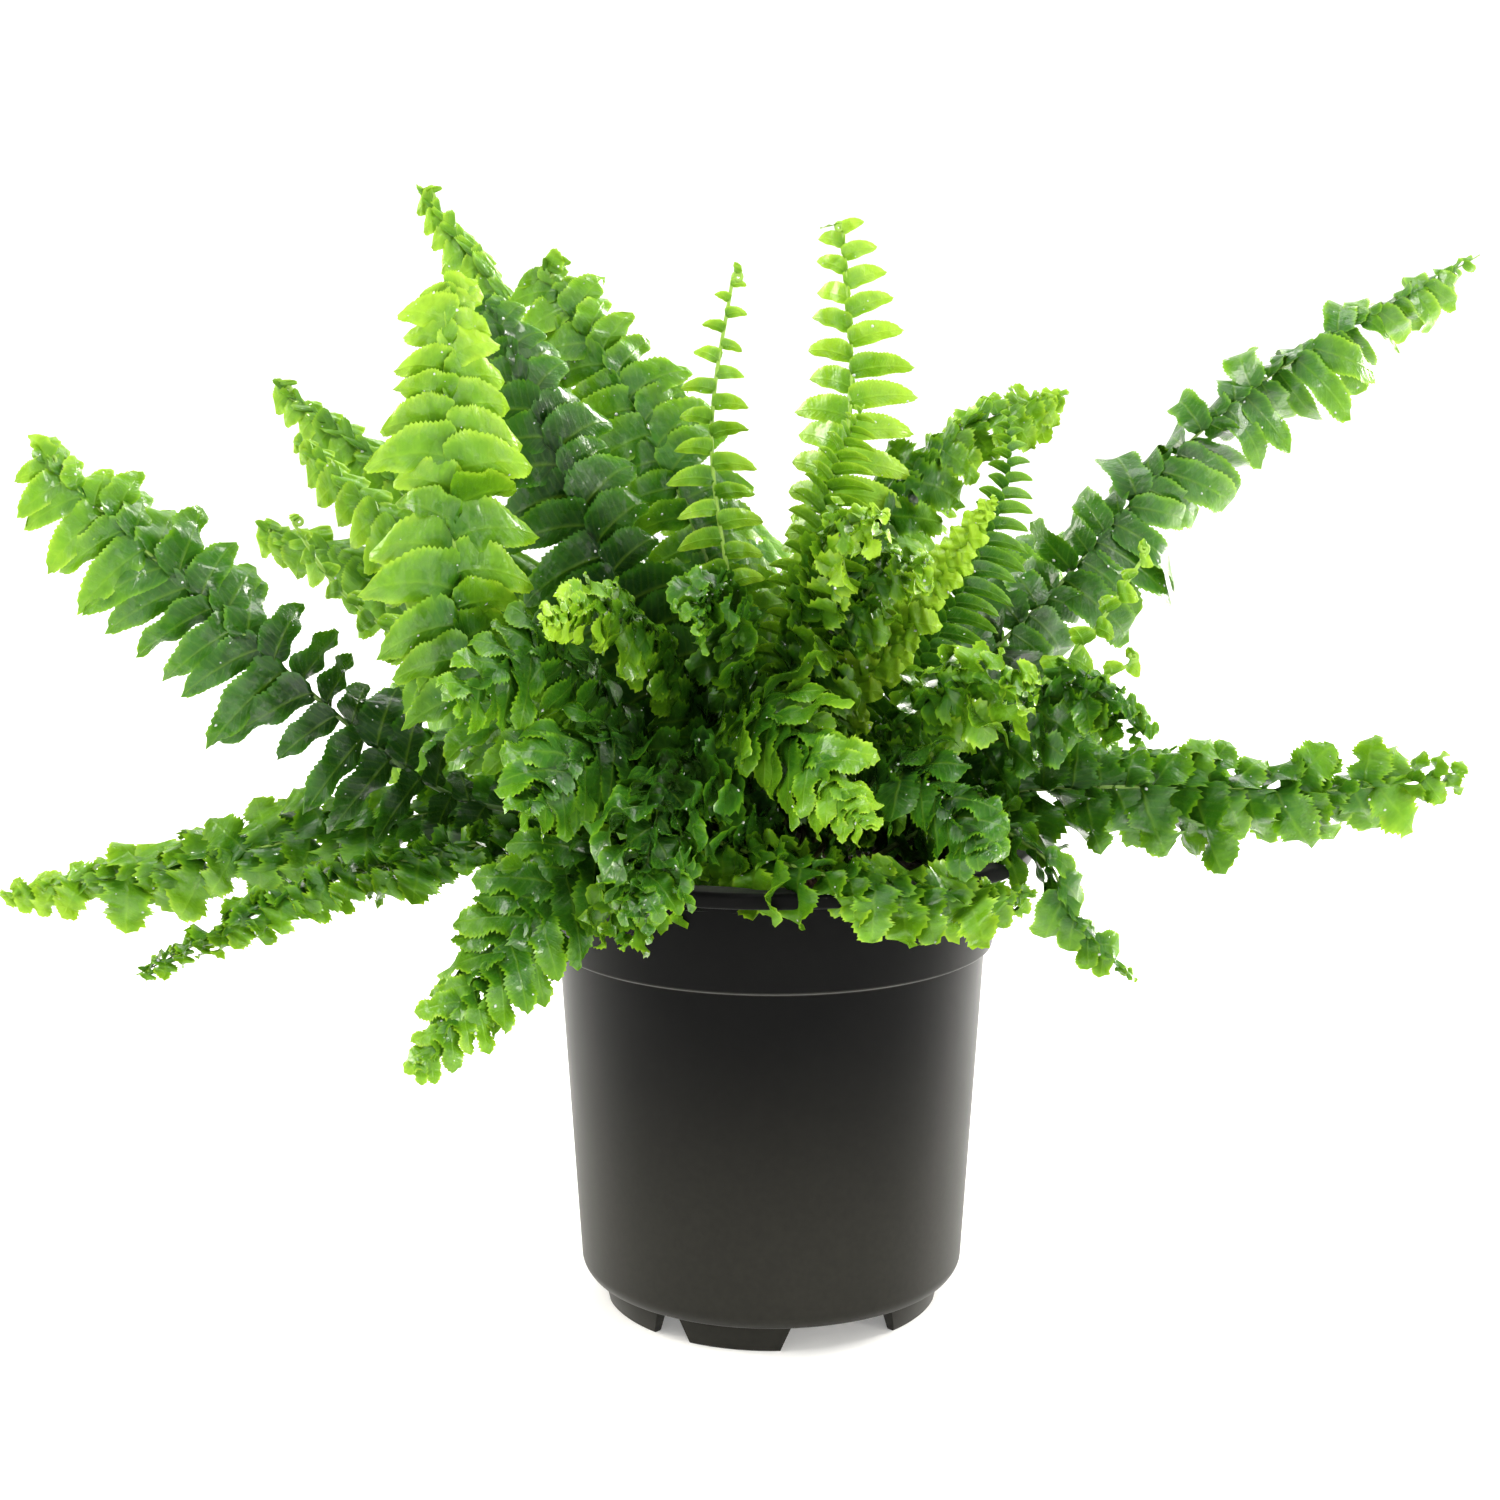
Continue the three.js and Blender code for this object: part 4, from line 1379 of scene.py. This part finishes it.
    def planted(self, dots: bpy.types.NodeSocket, index: bpy.types.NodeSocket,
                given: bpy.types.NodeOutputs) -> bpy.types.NodeSocket:
        """Put a right leaflet on each even point and a left one on each odd point, as real meshes.

        Args:
            dots: The points along the midrib.
            index: Their numbers.
            given: The tree's named inputs.

        Returns:
            All leaflets as one mesh, each still in its own coordinates.
        """
        wire = self.wire
        odd = wire.math("FLOORED_MODULO", index, 2.0)
        joined = wire.add("GeometryNodeJoinGeometry")
        for name, chosen in (("Right Leaflet", wire.math("SUBTRACT", 1.0, odd)), ("Left Leaflet", odd)):
            shape = wire.add("GeometryNodeObjectInfo", {"Object": given[name]})
            placed = wire.add("GeometryNodeInstanceOnPoints", {"Points": dots, "Selection": chosen,
                                                               "Instance": shape.outputs["Geometry"]})
            wire.feed(joined.inputs[0], placed.outputs[0])
        return wire.add("GeometryNodeRealizeInstances", {0: joined.outputs[0]}).outputs[0]

    def bent(self, given: bpy.types.NodeOutputs) -> bpy.types.NodeSocket:
        """Bend a leaflet along an arc, cup it, ruffle its margin and set it on the midrib.

        Args:
            given: The tree's named inputs.

        Returns:
            The place of each leaflet point.
        """
        wire = self.wire
        u, w, lens = wire.add("ShaderNodeSeparateXYZ", {0: self.named("leaf_xyz", "FLOAT_VECTOR")}).outputs
        length, wide, curl = wire.add("ShaderNodeSeparateXYZ", {0: self.named("size", "FLOAT_VECTOR")}).outputs
        _, phase, other = wire.add("ShaderNodeSeparateXYZ", {0: self.named("mood", "FLOAT_VECTOR")}).outputs
        anchor, axis_x, axis_y, axis_z = (self.named(n, "FLOAT_VECTOR") for n in ("anchor", "axis_x", "axis_y", "axis_z"))
        bend = wire.math("MULTIPLY", curl, u)
        safe = wire.math("ADD", curl, 0.0013)
        ahead = wire.math("DIVIDE", wire.math("MULTIPLY", length, wire.math("SINE", bend)), safe)
        down = wire.math("DIVIDE", wire.math("MULTIPLY", length, wire.math("SUBTRACT", wire.math("COSINE", bend), 1.0)), safe)
        normal = wire.blend((axis_z, wire.math("COSINE", bend)), (axis_x, wire.math("SINE", bend)))
        along_wave = wire.math("ADD", wire.math("MULTIPLY", u, given["Waves"]), phase)
        side_shift = wire.math("MULTIPLY", wire.math("GREATER_THAN", w, 0.0), other)
        wave = wire.math("SINE", wire.math("MULTIPLY", wire.math("ADD", along_wave, side_shift), 6.2832))
        rim = self.named("margin")
        ruffle = wire.math("MULTIPLY", wire.math("MULTIPLY", wave, given["Ruffle"]), rim)
        swell = wire.math("COSINE", wire.math("MULTIPLY", wire.math("ADD", along_wave, side_shift), 12.566))
        w = wire.math("MULTIPLY", w, wire.math("ADD", 1.0, wire.math("MULTIPLY", swell, given["Lobes"])))
        cup = wire.math("MULTIPLY", given["Cup"], rim)
        lift = wire.math("MULTIPLY", wire.math("ADD", wire.math("ADD", ruffle, cup), lens), wide)
        turn = wire.math("MULTIPLY", wire.math("MULTIPLY", wire.math("SUBTRACT", other, 0.5), u),
                         wire.math("MULTIPLY", given["Scatter"], 0.05))
        cos, sin = wire.math("COSINE", turn), wire.math("SINE", turn)
        cross = wire.blend((axis_y, cos), (normal, sin))
        face = wire.vector("SUBTRACT", wire.vector("SCALE", normal, scale=cos), wire.vector("SCALE", axis_y, scale=sin))
        sagged = wire.math("MULTIPLY", wire.math("MULTIPLY", length, wire.math("MULTIPLY", u, u)), given["Sag"])
        place = wire.blend((axis_x, ahead), (axis_z, down), (cross, wire.math("MULTIPLY", w, wide)), (face, lift),
                           ((0.0, 0.0, -1.0), sagged))
        return wire.vector("ADD", anchor, place)


@dataclass(frozen=True)
class Frond:
    """One frond: where it runs, how its leaflets stand, how young they are and how much painted shade darkens it."""

    name: str
    ring: int
    leaflet: float
    roll: tuple[float, float]
    growth: Growth
    youth_and_shade: tuple[float, float]
    points: tuple[Point, ...]
    coiled: bool = False

    @property
    def heading(self) -> float:
        """Direction of the tip from the pot's axis, in radians."""
        return math.atan2(self.points[-1][1], self.points[-1][0])

    @property
    def leaving(self) -> float:
        """Direction in which the frond leaves the crown, in radians."""
        return math.atan2(self.points[0][1], self.points[0][0])


L, R, B, Y = Growth.LADDER, Growth.RUFFLED, Growth.BROAD, Growth.YOUNG
C, T, S, F = Growth.CRESCENT, Growth.TWISTED, Growth.SPRIG, Growth.LEAFY
N, G, A = Growth.TENDER, Growth.SHINGLED, Growth.ARCHING
P, E = Growth.PLUME, Growth.FEATHER

# Each youth pair mixes a frond's age colour with painted shade: fronds deep inside the plant get lower values.
FRONDS: tuple[Frond, ...] = (
    Frond("left_high", 2, 22, (70, 80), A, (-0.20, 0.82), ((-40, -13, 110), (-71, -22, 119), (-110, -34, 155), (-145, -45, 190)), True),
    Frond("left_low", 3, 11, (70, 75), F, (0.32, 0.86), ((-50, -6, 111), (-84, -10, 109), (-124, -15, 101), (-164, -20, 95))),
    Frond("left_low_thin", 3, 6, (30, 45), R, (0.34, 0.66), ((-42, -20, 110), (-62, -30, 108), (-92, -45, 103), (-125, -62, 89))),
    Frond("front_left_falling", 3, 15, (40, 45), E, (0.20, 0.74), ((-31, -34, 111), (-43, -47, 104), (-57, -61, 88), (-69, -75, 73))),
    Frond("rim_left", 3, 12, (35, 30), R, (0.36, 0.56), ((-15, -32, 112), (-25, -52, 110), (-31, -64, 97))),
    Frond("rim_front", 3, 9, (-40, -45), R, (0.46, 0.66), ((-12, -36, 110), (4, -54, 109), (28, -56, 104), (52, -44, 101))),
    Frond("left_upright", 2, 16, (105, 119), G, (0.38, 0.94), ((-34, -26, 118), (-60, -42, 146), (-63, -45, 180), (-63, -46, 223)), True),
    Frond("left_crozier", 2, 8, (70, 75), N, (0.45, 0.85), ((-48, -5, 127), (-88, -7, 155), (-102, -8, 174)), True),
    Frond("left_back_low", 2, 10, (65, 75), L, (0.36, 0.80), ((-50, 11, 128), (-90, 19, 160), (-114, 24, 168)), True),
    Frond("left_back_mid", 1, 10, (65, 72), L, (0.42, 0.86), ((-30, 4, 125), (-72, 9, 160), (-104, 13, 190))),
    Frond("left_back_thin", 1, 9, (50, 55), L, (0.45, 0.80), ((-40, 12, 142), (-86, 26, 182), (-111, 32, 200)), True),
    Frond("tall_left", 1, 8, (35, 40), L, (0.48, 0.80), ((-24, 8, 150), (-55, 17, 213), (-77, 25, 243)), True),
    Frond("left_arch", 0, 21, (60, 68), A, (0.36, 0.70), ((-10, 4, 150), (-26, 9, 190), (-51, 18, 227)), True),
    Frond("dark_crescent", 1, 19, (85, 95), L, (0.05, 0.42), ((-24, -6, 140), (-42, -10, 180), (-59, -15, 220))),
    Frond("young_centre", 0, 11, (78, 78), S, (0.66, 0.85), ((-8, 0, 150), (-13, 2, 190), (-8, 2, 227)), True),
    Frond("young_right", 0, 21, (-32, -32), Y, (0.68, 1.0), ((7, 6, 150), (17, 13, 195), (15, 12, 238)), True),
    Frond("fan_centre", 0, 15, (-80, -100), C, (0.42, 0.85), ((7, -4, 145), (12, -7, 180), (19, -12, 198))),
    Frond("crescent_right", 1, 12, (-70, -77), C, (0.32, 0.68), ((22, 1, 125), (38, 3, 152), (50, 6, 178), (51, 6, 197))),
    Frond("edge_right", 1, 7, (-80, -95), P, (0.60, 1.10), ((15, -10, 132), (29, -19, 154), (45, -30, 180))),
    Frond("right_back_dark", 1, 12, (-55, -60), R, (0.08, 0.92), ((14, 8, 150), (37, 18, 187), (67, 31, 199))),
    Frond("right_far", 2, 20, (-58, -62), T, (0.28, 0.70), ((30, 12, 125), (60, 21, 152), (106, 38, 197), (166, 60, 230))),
    Frond("right_level", 3, 14, (-75, -82), F, (0.24, 0.78), ((40, -6, 113), (83, -11, 117), (118, -16, 117), (146, -20, 122))),
    Frond("right_falling", 3, 9, (-50, -50), T, (0.24, 0.64), ((38, -23, 112), (55, -34, 107), (62, -39, 94), (73, -44, 83))),
    Frond("young_far_right", 2, 8, (-60, -70), N, (0.62, 0.92), ((34, 5, 120), (64, 9, 140), (84, 12, 167)), True),
    Frond("crozier_right", 2, 8, (-60, -65), N, (0.60, 0.92), ((38, -1, 119), (64, 0, 134), (80, 1, 143)), True),
    Frond("right_serrated", 2, 10, (-70, -75), R, (0.12, 0.46), ((24, -10, 113), (42, -17, 124), (62, -28, 141), (76, -38, 132))),
    Frond("front_right_bright", 2, 12, (-75, -80), R, (0.30, 0.82), ((22, -22, 124), (35, -42, 143), (50, -62, 146))),
    Frond("front_pale", 1, 10, (-80, -80), R, (0.24, 0.74), ((10, -12, 138), (22, -28, 164), (31, -44, 168))),
    Frond("front_light_tip", 1, 11, (-80, -80), R, (0.20, 0.92), ((4, -13, 140), (10, -30, 170), (21, -50, 178))),
    Frond("front_centre", 2, 17, (-36, -40), E, (0.26, 0.76), ((-5, -20, 124), (-3, -34, 137), (8, -58, 130), (17, -74, 121))),
    Frond("front_right_low", 3, 11, (-35, -45), B, (0.10, 0.40), ((16, -27, 114), (26, -47, 128), (40, -76, 116))),
    Frond("ruffled_left", 2, 14, (60, 65), B, (0.14, 0.52), ((-27, -20, 128), (-44, -46, 150), (-60, -74, 146))),
    Frond("ruffled_left_low", 3, 15, (50, 50), B, (0.12, 0.48), ((-17, -25, 118), (-33, -50, 133), (-46, -82, 126))),
    Frond("ruffled_centre", 1, 11, (50, 45), R, (0.12, 0.44), ((-6, -14, 138), (-10, -34, 162), (-16, -58, 159))),
    Frond("ruffled_front", 3, 14, (25, 20), R, (0.08, 0.40), ((-6, -27, 114), (-16, -50, 130), (-22, -78, 124), (-25, -96, 108))),
    Frond("bright_cluster", 1, 12, (75, 75), E, (0.22, 0.98), ((-19, -14, 140), (-32, -40, 158), (-44, -74, 160))),
    Frond("back_right_high", 2, 15, (0, 0), L, (0.30, 0.72), ((28, 33, 125), (52, 60, 156), (74, 86, 162))),
    Frond("back_mid", 3, 14, (0, 0), B, (0.30, 0.60), ((12, 38, 122), (20, 68, 140), (26, 94, 132))),
    Frond("back_left_high", 2, 15, (0, 0), L, (0.35, 0.75), ((-3, 38, 132), (-6, 70, 160), (-9, 96, 168))),
    Frond("back_left_low", 3, 14, (0, 0), B, (0.30, 0.62), ((-18, 36, 119), (-34, 66, 134), (-48, 92, 126))),
    Frond("back_left_long", 2, 15, (0, 0), L, (0.32, 0.78), ((-36, 33, 128), (-70, 62, 160), (-98, 84, 172))),
    Frond("side_left_back", 3, 13, (0, 10), T, (0.32, 0.72), ((-44, 30, 117), (-74, 58, 130), (-98, 84, 122))),
    Frond("side_right_back", 3, 13, (0, -10), T, (0.32, 0.72), ((40, 28, 117), (68, 58, 126), (88, 86, 110))),
    Frond("back_upright", 1, 12, (0, 0), L, (0.45, 0.80), ((15, 25, 138), (30, 54, 166), (42, 78, 178))),
    Frond("back_tall", 1, 12, (0, 0), L, (0.45, 0.82), ((-6, 22, 146), (-14, 46, 174), (-22, 68, 182))),
    Frond("back_left_mid", 1, 13, (0, 0), L, (0.38, 0.75), ((-20, 24, 142), (-46, 54, 180), (-66, 78, 196))),
    Frond("back_falling", 3, 12, (0, 0), R, (0.35, 0.66), ((4, 42, 112), (5, 60, 109), (6, 78, 96), (7, 90, 80))),
    Frond("back_left_falling", 3, 12, (0, 0), R, (0.35, 0.62), ((-32, 38, 112), (-46, 54, 107), (-58, 68, 90))),
    Frond("back_right_falling", 3, 12, (0, 0), R, (0.35, 0.62), ((30, 38, 112), (43, 52, 107), (56, 68, 88))),
    Frond("side_right_low", 3, 13, (-20, -35), T, (0.32, 0.70), ((46, 9, 113), (82, 22, 118), (110, 36, 109))),
    Frond("side_left_low", 3, 13, (20, 35), T, (0.32, 0.70), ((-46, 13, 114), (-72, 28, 121), (-92, 42, 113))),
    Frond("young_back", 0, 10, (0, 0), Y, (0.60, 0.88), ((5, 12, 154), (12, 24, 182), (15, 34, 194)), True),
)


@dataclass
class Plant:
    """All fronds, each grown on its own path from its place on the crown."""

    ring_radii: tuple[float, ...] = (4.0, 9.0, 14.0, 19.0)
    base_z: float = 97.9
    stalk_radius: float = 0.65
    coil_radius: float = 1.1
    beads: float = 8000.0
    bases: dict[str, Vector] = field(default_factory=dict)

    def place_bases(self) -> None:
        """Spread the bases evenly round each ring, in the order in which the fronds leave it."""
        for ring, radius in enumerate(self.ring_radii):
            members = sorted((f for f in FRONDS if f.ring == ring), key=lambda f: f.leaving)
            step = 2.0 * math.pi / len(members)
            east = sum(math.cos(f.leaving - i * step) for i, f in enumerate(members))
            north = sum(math.sin(f.leaving - i * step) for i, f in enumerate(members))
            start = math.atan2(north, east)
            for i, frond in enumerate(members):
                turn = start + i * step
                self.bases[frond.name] = Vector((radius * math.cos(turn), radius * math.sin(turn), self.base_z))

    def path(self, frond: Frond) -> tuple[list[Vector], float]:
        """Run a smooth path through a frond's points, and coil its tip if it is young.

        Args:
            frond: The frond.

        Returns:
            The path's points in millimetres, and the share of its length that carries leaflets.
        """
        knots = [self.bases[frond.name], *(Vector(p) for p in frond.points)]
        knots = [2.0 * knots[0] - knots[1], *knots, 2.0 * knots[-1] - knots[-2]]
        line: list[Vector] = []
        for a, b, c, d in zip(knots, knots[1:], knots[2:], knots[3:]):
            for k in range(14):
                t = k / 14.0
                line.append(0.5 * ((2.0 * b) + (c - a) * t + (2.0 * a - 5.0 * b + 4.0 * c - d) * t * t
                                   + (3.0 * b - a - 3.0 * c + d) * t ** 3))
        line.append(knots[-2])
        leafy = 0.985
        if frond.coiled:
            line = line[:-1]
            ahead = (line[-1] - line[-2]).normalized()
            inward = Vector((-math.cos(frond.heading), -math.sin(frond.heading), 0.0))
            inward = (inward - ahead * inward.dot(ahead)).normalized()
            centre = line[-1] + inward * self.coil_radius
            for k in range(1, 23):
                turn = k * math.radians(24.0)
                radius = self.coil_radius * (1.0 - 0.03 * k)
                line.append(centre - inward * radius * math.cos(turn) + ahead * radius * math.sin(turn))
            leafy = 0.97
        return line, leafy

    def path_object(self, name: str, line: Sequence[Vector]) -> bpy.types.Object:
        """Make the curve that the frond tree grows on."""
        curve = bpy.data.curves.new(name, "CURVE")
        curve.dimensions = "3D"
        spline = curve.splines.new("POLY")
        spline.points.add(len(line) - 1)
        for spot, place in zip(spline.points, line):
            spot.co = (*(place * MM), 1.0)
        piece = bpy.data.objects.new(name, curve)
        bpy.context.scene.collection.objects.link(piece)
        return piece

    def build(self, leaf: LeafFinish, stem: StemFinish) -> None:
        """Grow and dress every frond.

        Args:
            leaf: Finish of the leaflets.
            stem: Finish of the midribs.
        """
        self.place_bases()
        tree = FrondTree()
        shapes = {cut: (cut.value.build("leaflet_right", False), cut.value.build("leaflet_left", True)) for cut in Cut}
        bead = lump("bead", 1, (0.30 * MM, 0.30 * MM, 0.20 * MM), 0)
        leaf_material, stem_material, water = leaf.material(), stem.material(), WaterFinish().material()
        faces = 0
        for number, frond in enumerate(FRONDS):
            line, leafy = self.path(frond)
            length = sum((q - p).length for p, q in zip(line, line[1:]))
            habit: Habit = frond.growth.value
            right, left = shapes[habit.cut]
            values = {
                "Side": (math.sin(frond.heading), -math.cos(frond.heading), 0.0),
                "Leaflets": 2 * round(length * (leafy - habit.bare) / habit.pitch),
                "Seed": 100 + 17 * number, "Right Leaflet": right, "Left Leaflet": left,
                "Leaf Finish": leaf_material, "Stem Finish": stem_material,
                "Roll at Base": float(frond.roll[0]), "Roll at Tip": float(frond.roll[1]),
                "Leaflet Length": frond.leaflet * MM, "Leaflet Half Width": habit.half_width * MM,
                "Crowding": habit.crowding, "Bare Stalk": habit.bare, "Leafy End": leafy,
                "Stalk Radius": self.stalk_radius * MM, "Stalk Tip": 0.62 if frond.coiled else 0.25,
                "Sweep": float(habit.sweep), "Lean": float(habit.lean), "Droop": float(habit.droop),
                "Twist": float(habit.twist), "Curl": habit.curl, "Sag": habit.sag, "Cup": habit.cup,
                "Ruffle": habit.ruffle, "Lobes": habit.lobes, "Waves": habit.waves, "Scatter": float(habit.scatter),
                "Fullness": habit.fullness, "Rise": habit.rise, "Youth at Base": frond.youth_and_shade[0], "Youth at Tip": frond.youth_and_shade[1],
                "Bead": bead, "Beads": self.beads, "Water": water,
            }
            piece = tree.apply(self.path_object(f"path_{frond.name}", line), f"fern_{frond.name}", values)
            node = f"frond_{frond.name}"
            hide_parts(node)
            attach(piece, "root")
            faces += len(piece.data.polygons)
        for piece in (bead, *(shape for pair in shapes.values() for shape in pair)):
            discard(piece)
        LOG.info("fronds: %d pieces, %d faces", len(FRONDS), faces)

    record: dict = field(default_factory=dict)


# ------------------------------------------------------------------ studio


@dataclass
class Studio:
    """Pale floor that curves up into a wall all round, soft lights and the photograph's camera."""

    eye: Point = (-4.77, -540.0, 217.55)
    tilt: float = 0.1735
    focal_px: float = 2517.0
    frame_px: float = 1500.0
    sensor: float = 36.0

    def camera(self) -> None:
        """Stand the camera where the photograph was taken from."""
        data = bpy.data.cameras.new("camera")
        data.sensor_width = self.sensor
        data.lens = self.focal_px * self.sensor / self.frame_px
        data.clip_start = 0.01
        data.clip_end = 50.0
        eye = bpy.data.objects.new("camera", data)
        eye.location = Vector(self.eye) * MM
        eye.rotation_euler = (math.pi / 2.0 - self.tilt, 0.0, 0.0)
        bpy.context.scene.collection.objects.link(eye)
        bpy.context.scene.camera = eye

    def floor(self, finish: StudioFinish) -> None:
        """Lay the floor and its curved wall.

        Args:
            finish: Their matt white.
        """
        profile = [(0.0, 0.0), (0.6, 0.0), (1.6, 0.0)]
        profile += [(1.6 + 0.9 * math.sin(a), 0.9 - 0.9 * math.cos(a)) for a in (math.radians(7.5 * k) for k in range(1, 13))]
        profile.append((2.5, 2.6))
        segments = 96
        points = [Vector((0.0, 0.0, 0.0))]
        faces: list[tuple[int, ...]] = []
        rings = profile[1:]
        for i in range(segments):
            turn = 2.0 * math.pi * i / segments
            points += [Vector((r * math.cos(turn), r * math.sin(turn), z)) for r, z in rings]
        depth = len(rings)
        for i in range(segments):
            here, there = 1 + i * depth, 1 + ((i + 1) % segments) * depth
            faces.append((0, here, there))
            faces += [(here + k, here + k + 1, there + k + 1, there + k) for k in range(depth - 1)]
        floor = mesh_object("studio_floor", points, faces)
        for polygon in floor.data.polygons:
            polygon.use_smooth = True
        floor.data.materials.append(finish.material())
        floor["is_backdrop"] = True

    def lights(self) -> None:
        """Hang a broad key, two side lights, a soft band, a back light, a top light and a glint under a pale sky."""
        for name, place, size, power, tint in (
                ("key", (-0.7, -0.8, 1.5), 0.8, 17.0, (1.0, 0.98, 0.94)),
                ("left", (-1.25, 0.45, 0.45), 0.9, 20.0, (1.0, 0.95, 0.86)),
                ("right", (1.1, 0.75, 0.40), 0.5, 30.0, (1.0, 0.96, 0.90)),
                ("band", (1.1, -0.85, 0.40), 0.35, 7.0, (1.0, 0.97, 0.92)),
                ("back", (0.4, 1.2, 1.3), 1.2, 12.0, (1.0, 1.0, 0.97)),
                ("top", (0.1, 0.1, 1.9), 1.0, 15.0, (1.0, 1.0, 1.0)),
                ("glint", (0.5, -0.9, 1.4), 0.08, 4.0, (1.0, 1.0, 1.0))):
            data = bpy.data.lights.new(name, "AREA")
            data.shape = "DISK"
            data.size = size
            data.energy = power
            data.color = tint
            light = bpy.data.objects.new(name, data)
            light.location = Vector(place)
            aim = Vector((0.0, 0.0, 0.12)) - Vector(place)
            light.rotation_euler = aim.to_track_quat("-Z", "Y").to_euler()
            bpy.context.scene.collection.objects.link(light)
        world = bpy.data.worlds.new("sky")
        world.use_nodes = True
        sky = world.node_tree.nodes["Background"]
        sky.inputs["Color"].default_value = (1.0, 1.0, 1.0, 1.0)
        sky.inputs["Strength"].default_value = 0.28
        bpy.context.scene.world = world

    def build(self) -> None:
        """Set up the whole studio."""
        self.camera()
        self.floor(StudioFinish())
        self.lights()
        bpy.context.scene.view_settings.view_transform = "Standard"
        LOG.info("studio: camera, floor and four lights")


def main() -> list[list[float]]:
    """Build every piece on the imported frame.

    Returns:
        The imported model's box, as its lowest and highest corners.
    """
    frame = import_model()
    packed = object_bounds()
    Studio().build()
    NurseryPot().build(PotFinish())
    PottingSoil().build(EarthFinish("peat", (0.010, 0.006, 0.004), (0.055, 0.034, 0.020)),
                        EarthFinish("perlite", (0.40, 0.38, 0.34), (0.70, 0.68, 0.64), 0.95))
    Crown().build(EarthFinish("rhizome", (0.030, 0.016, 0.008), (0.120, 0.070, 0.030)))
    Plant(record=frame["record"]).build(LeafFinish(), StemFinish())
    return packed


if __name__ == "__main__":
    logging.basicConfig(level=logging.INFO, format="%(name)s: %(message)s")
    PACKED = main()
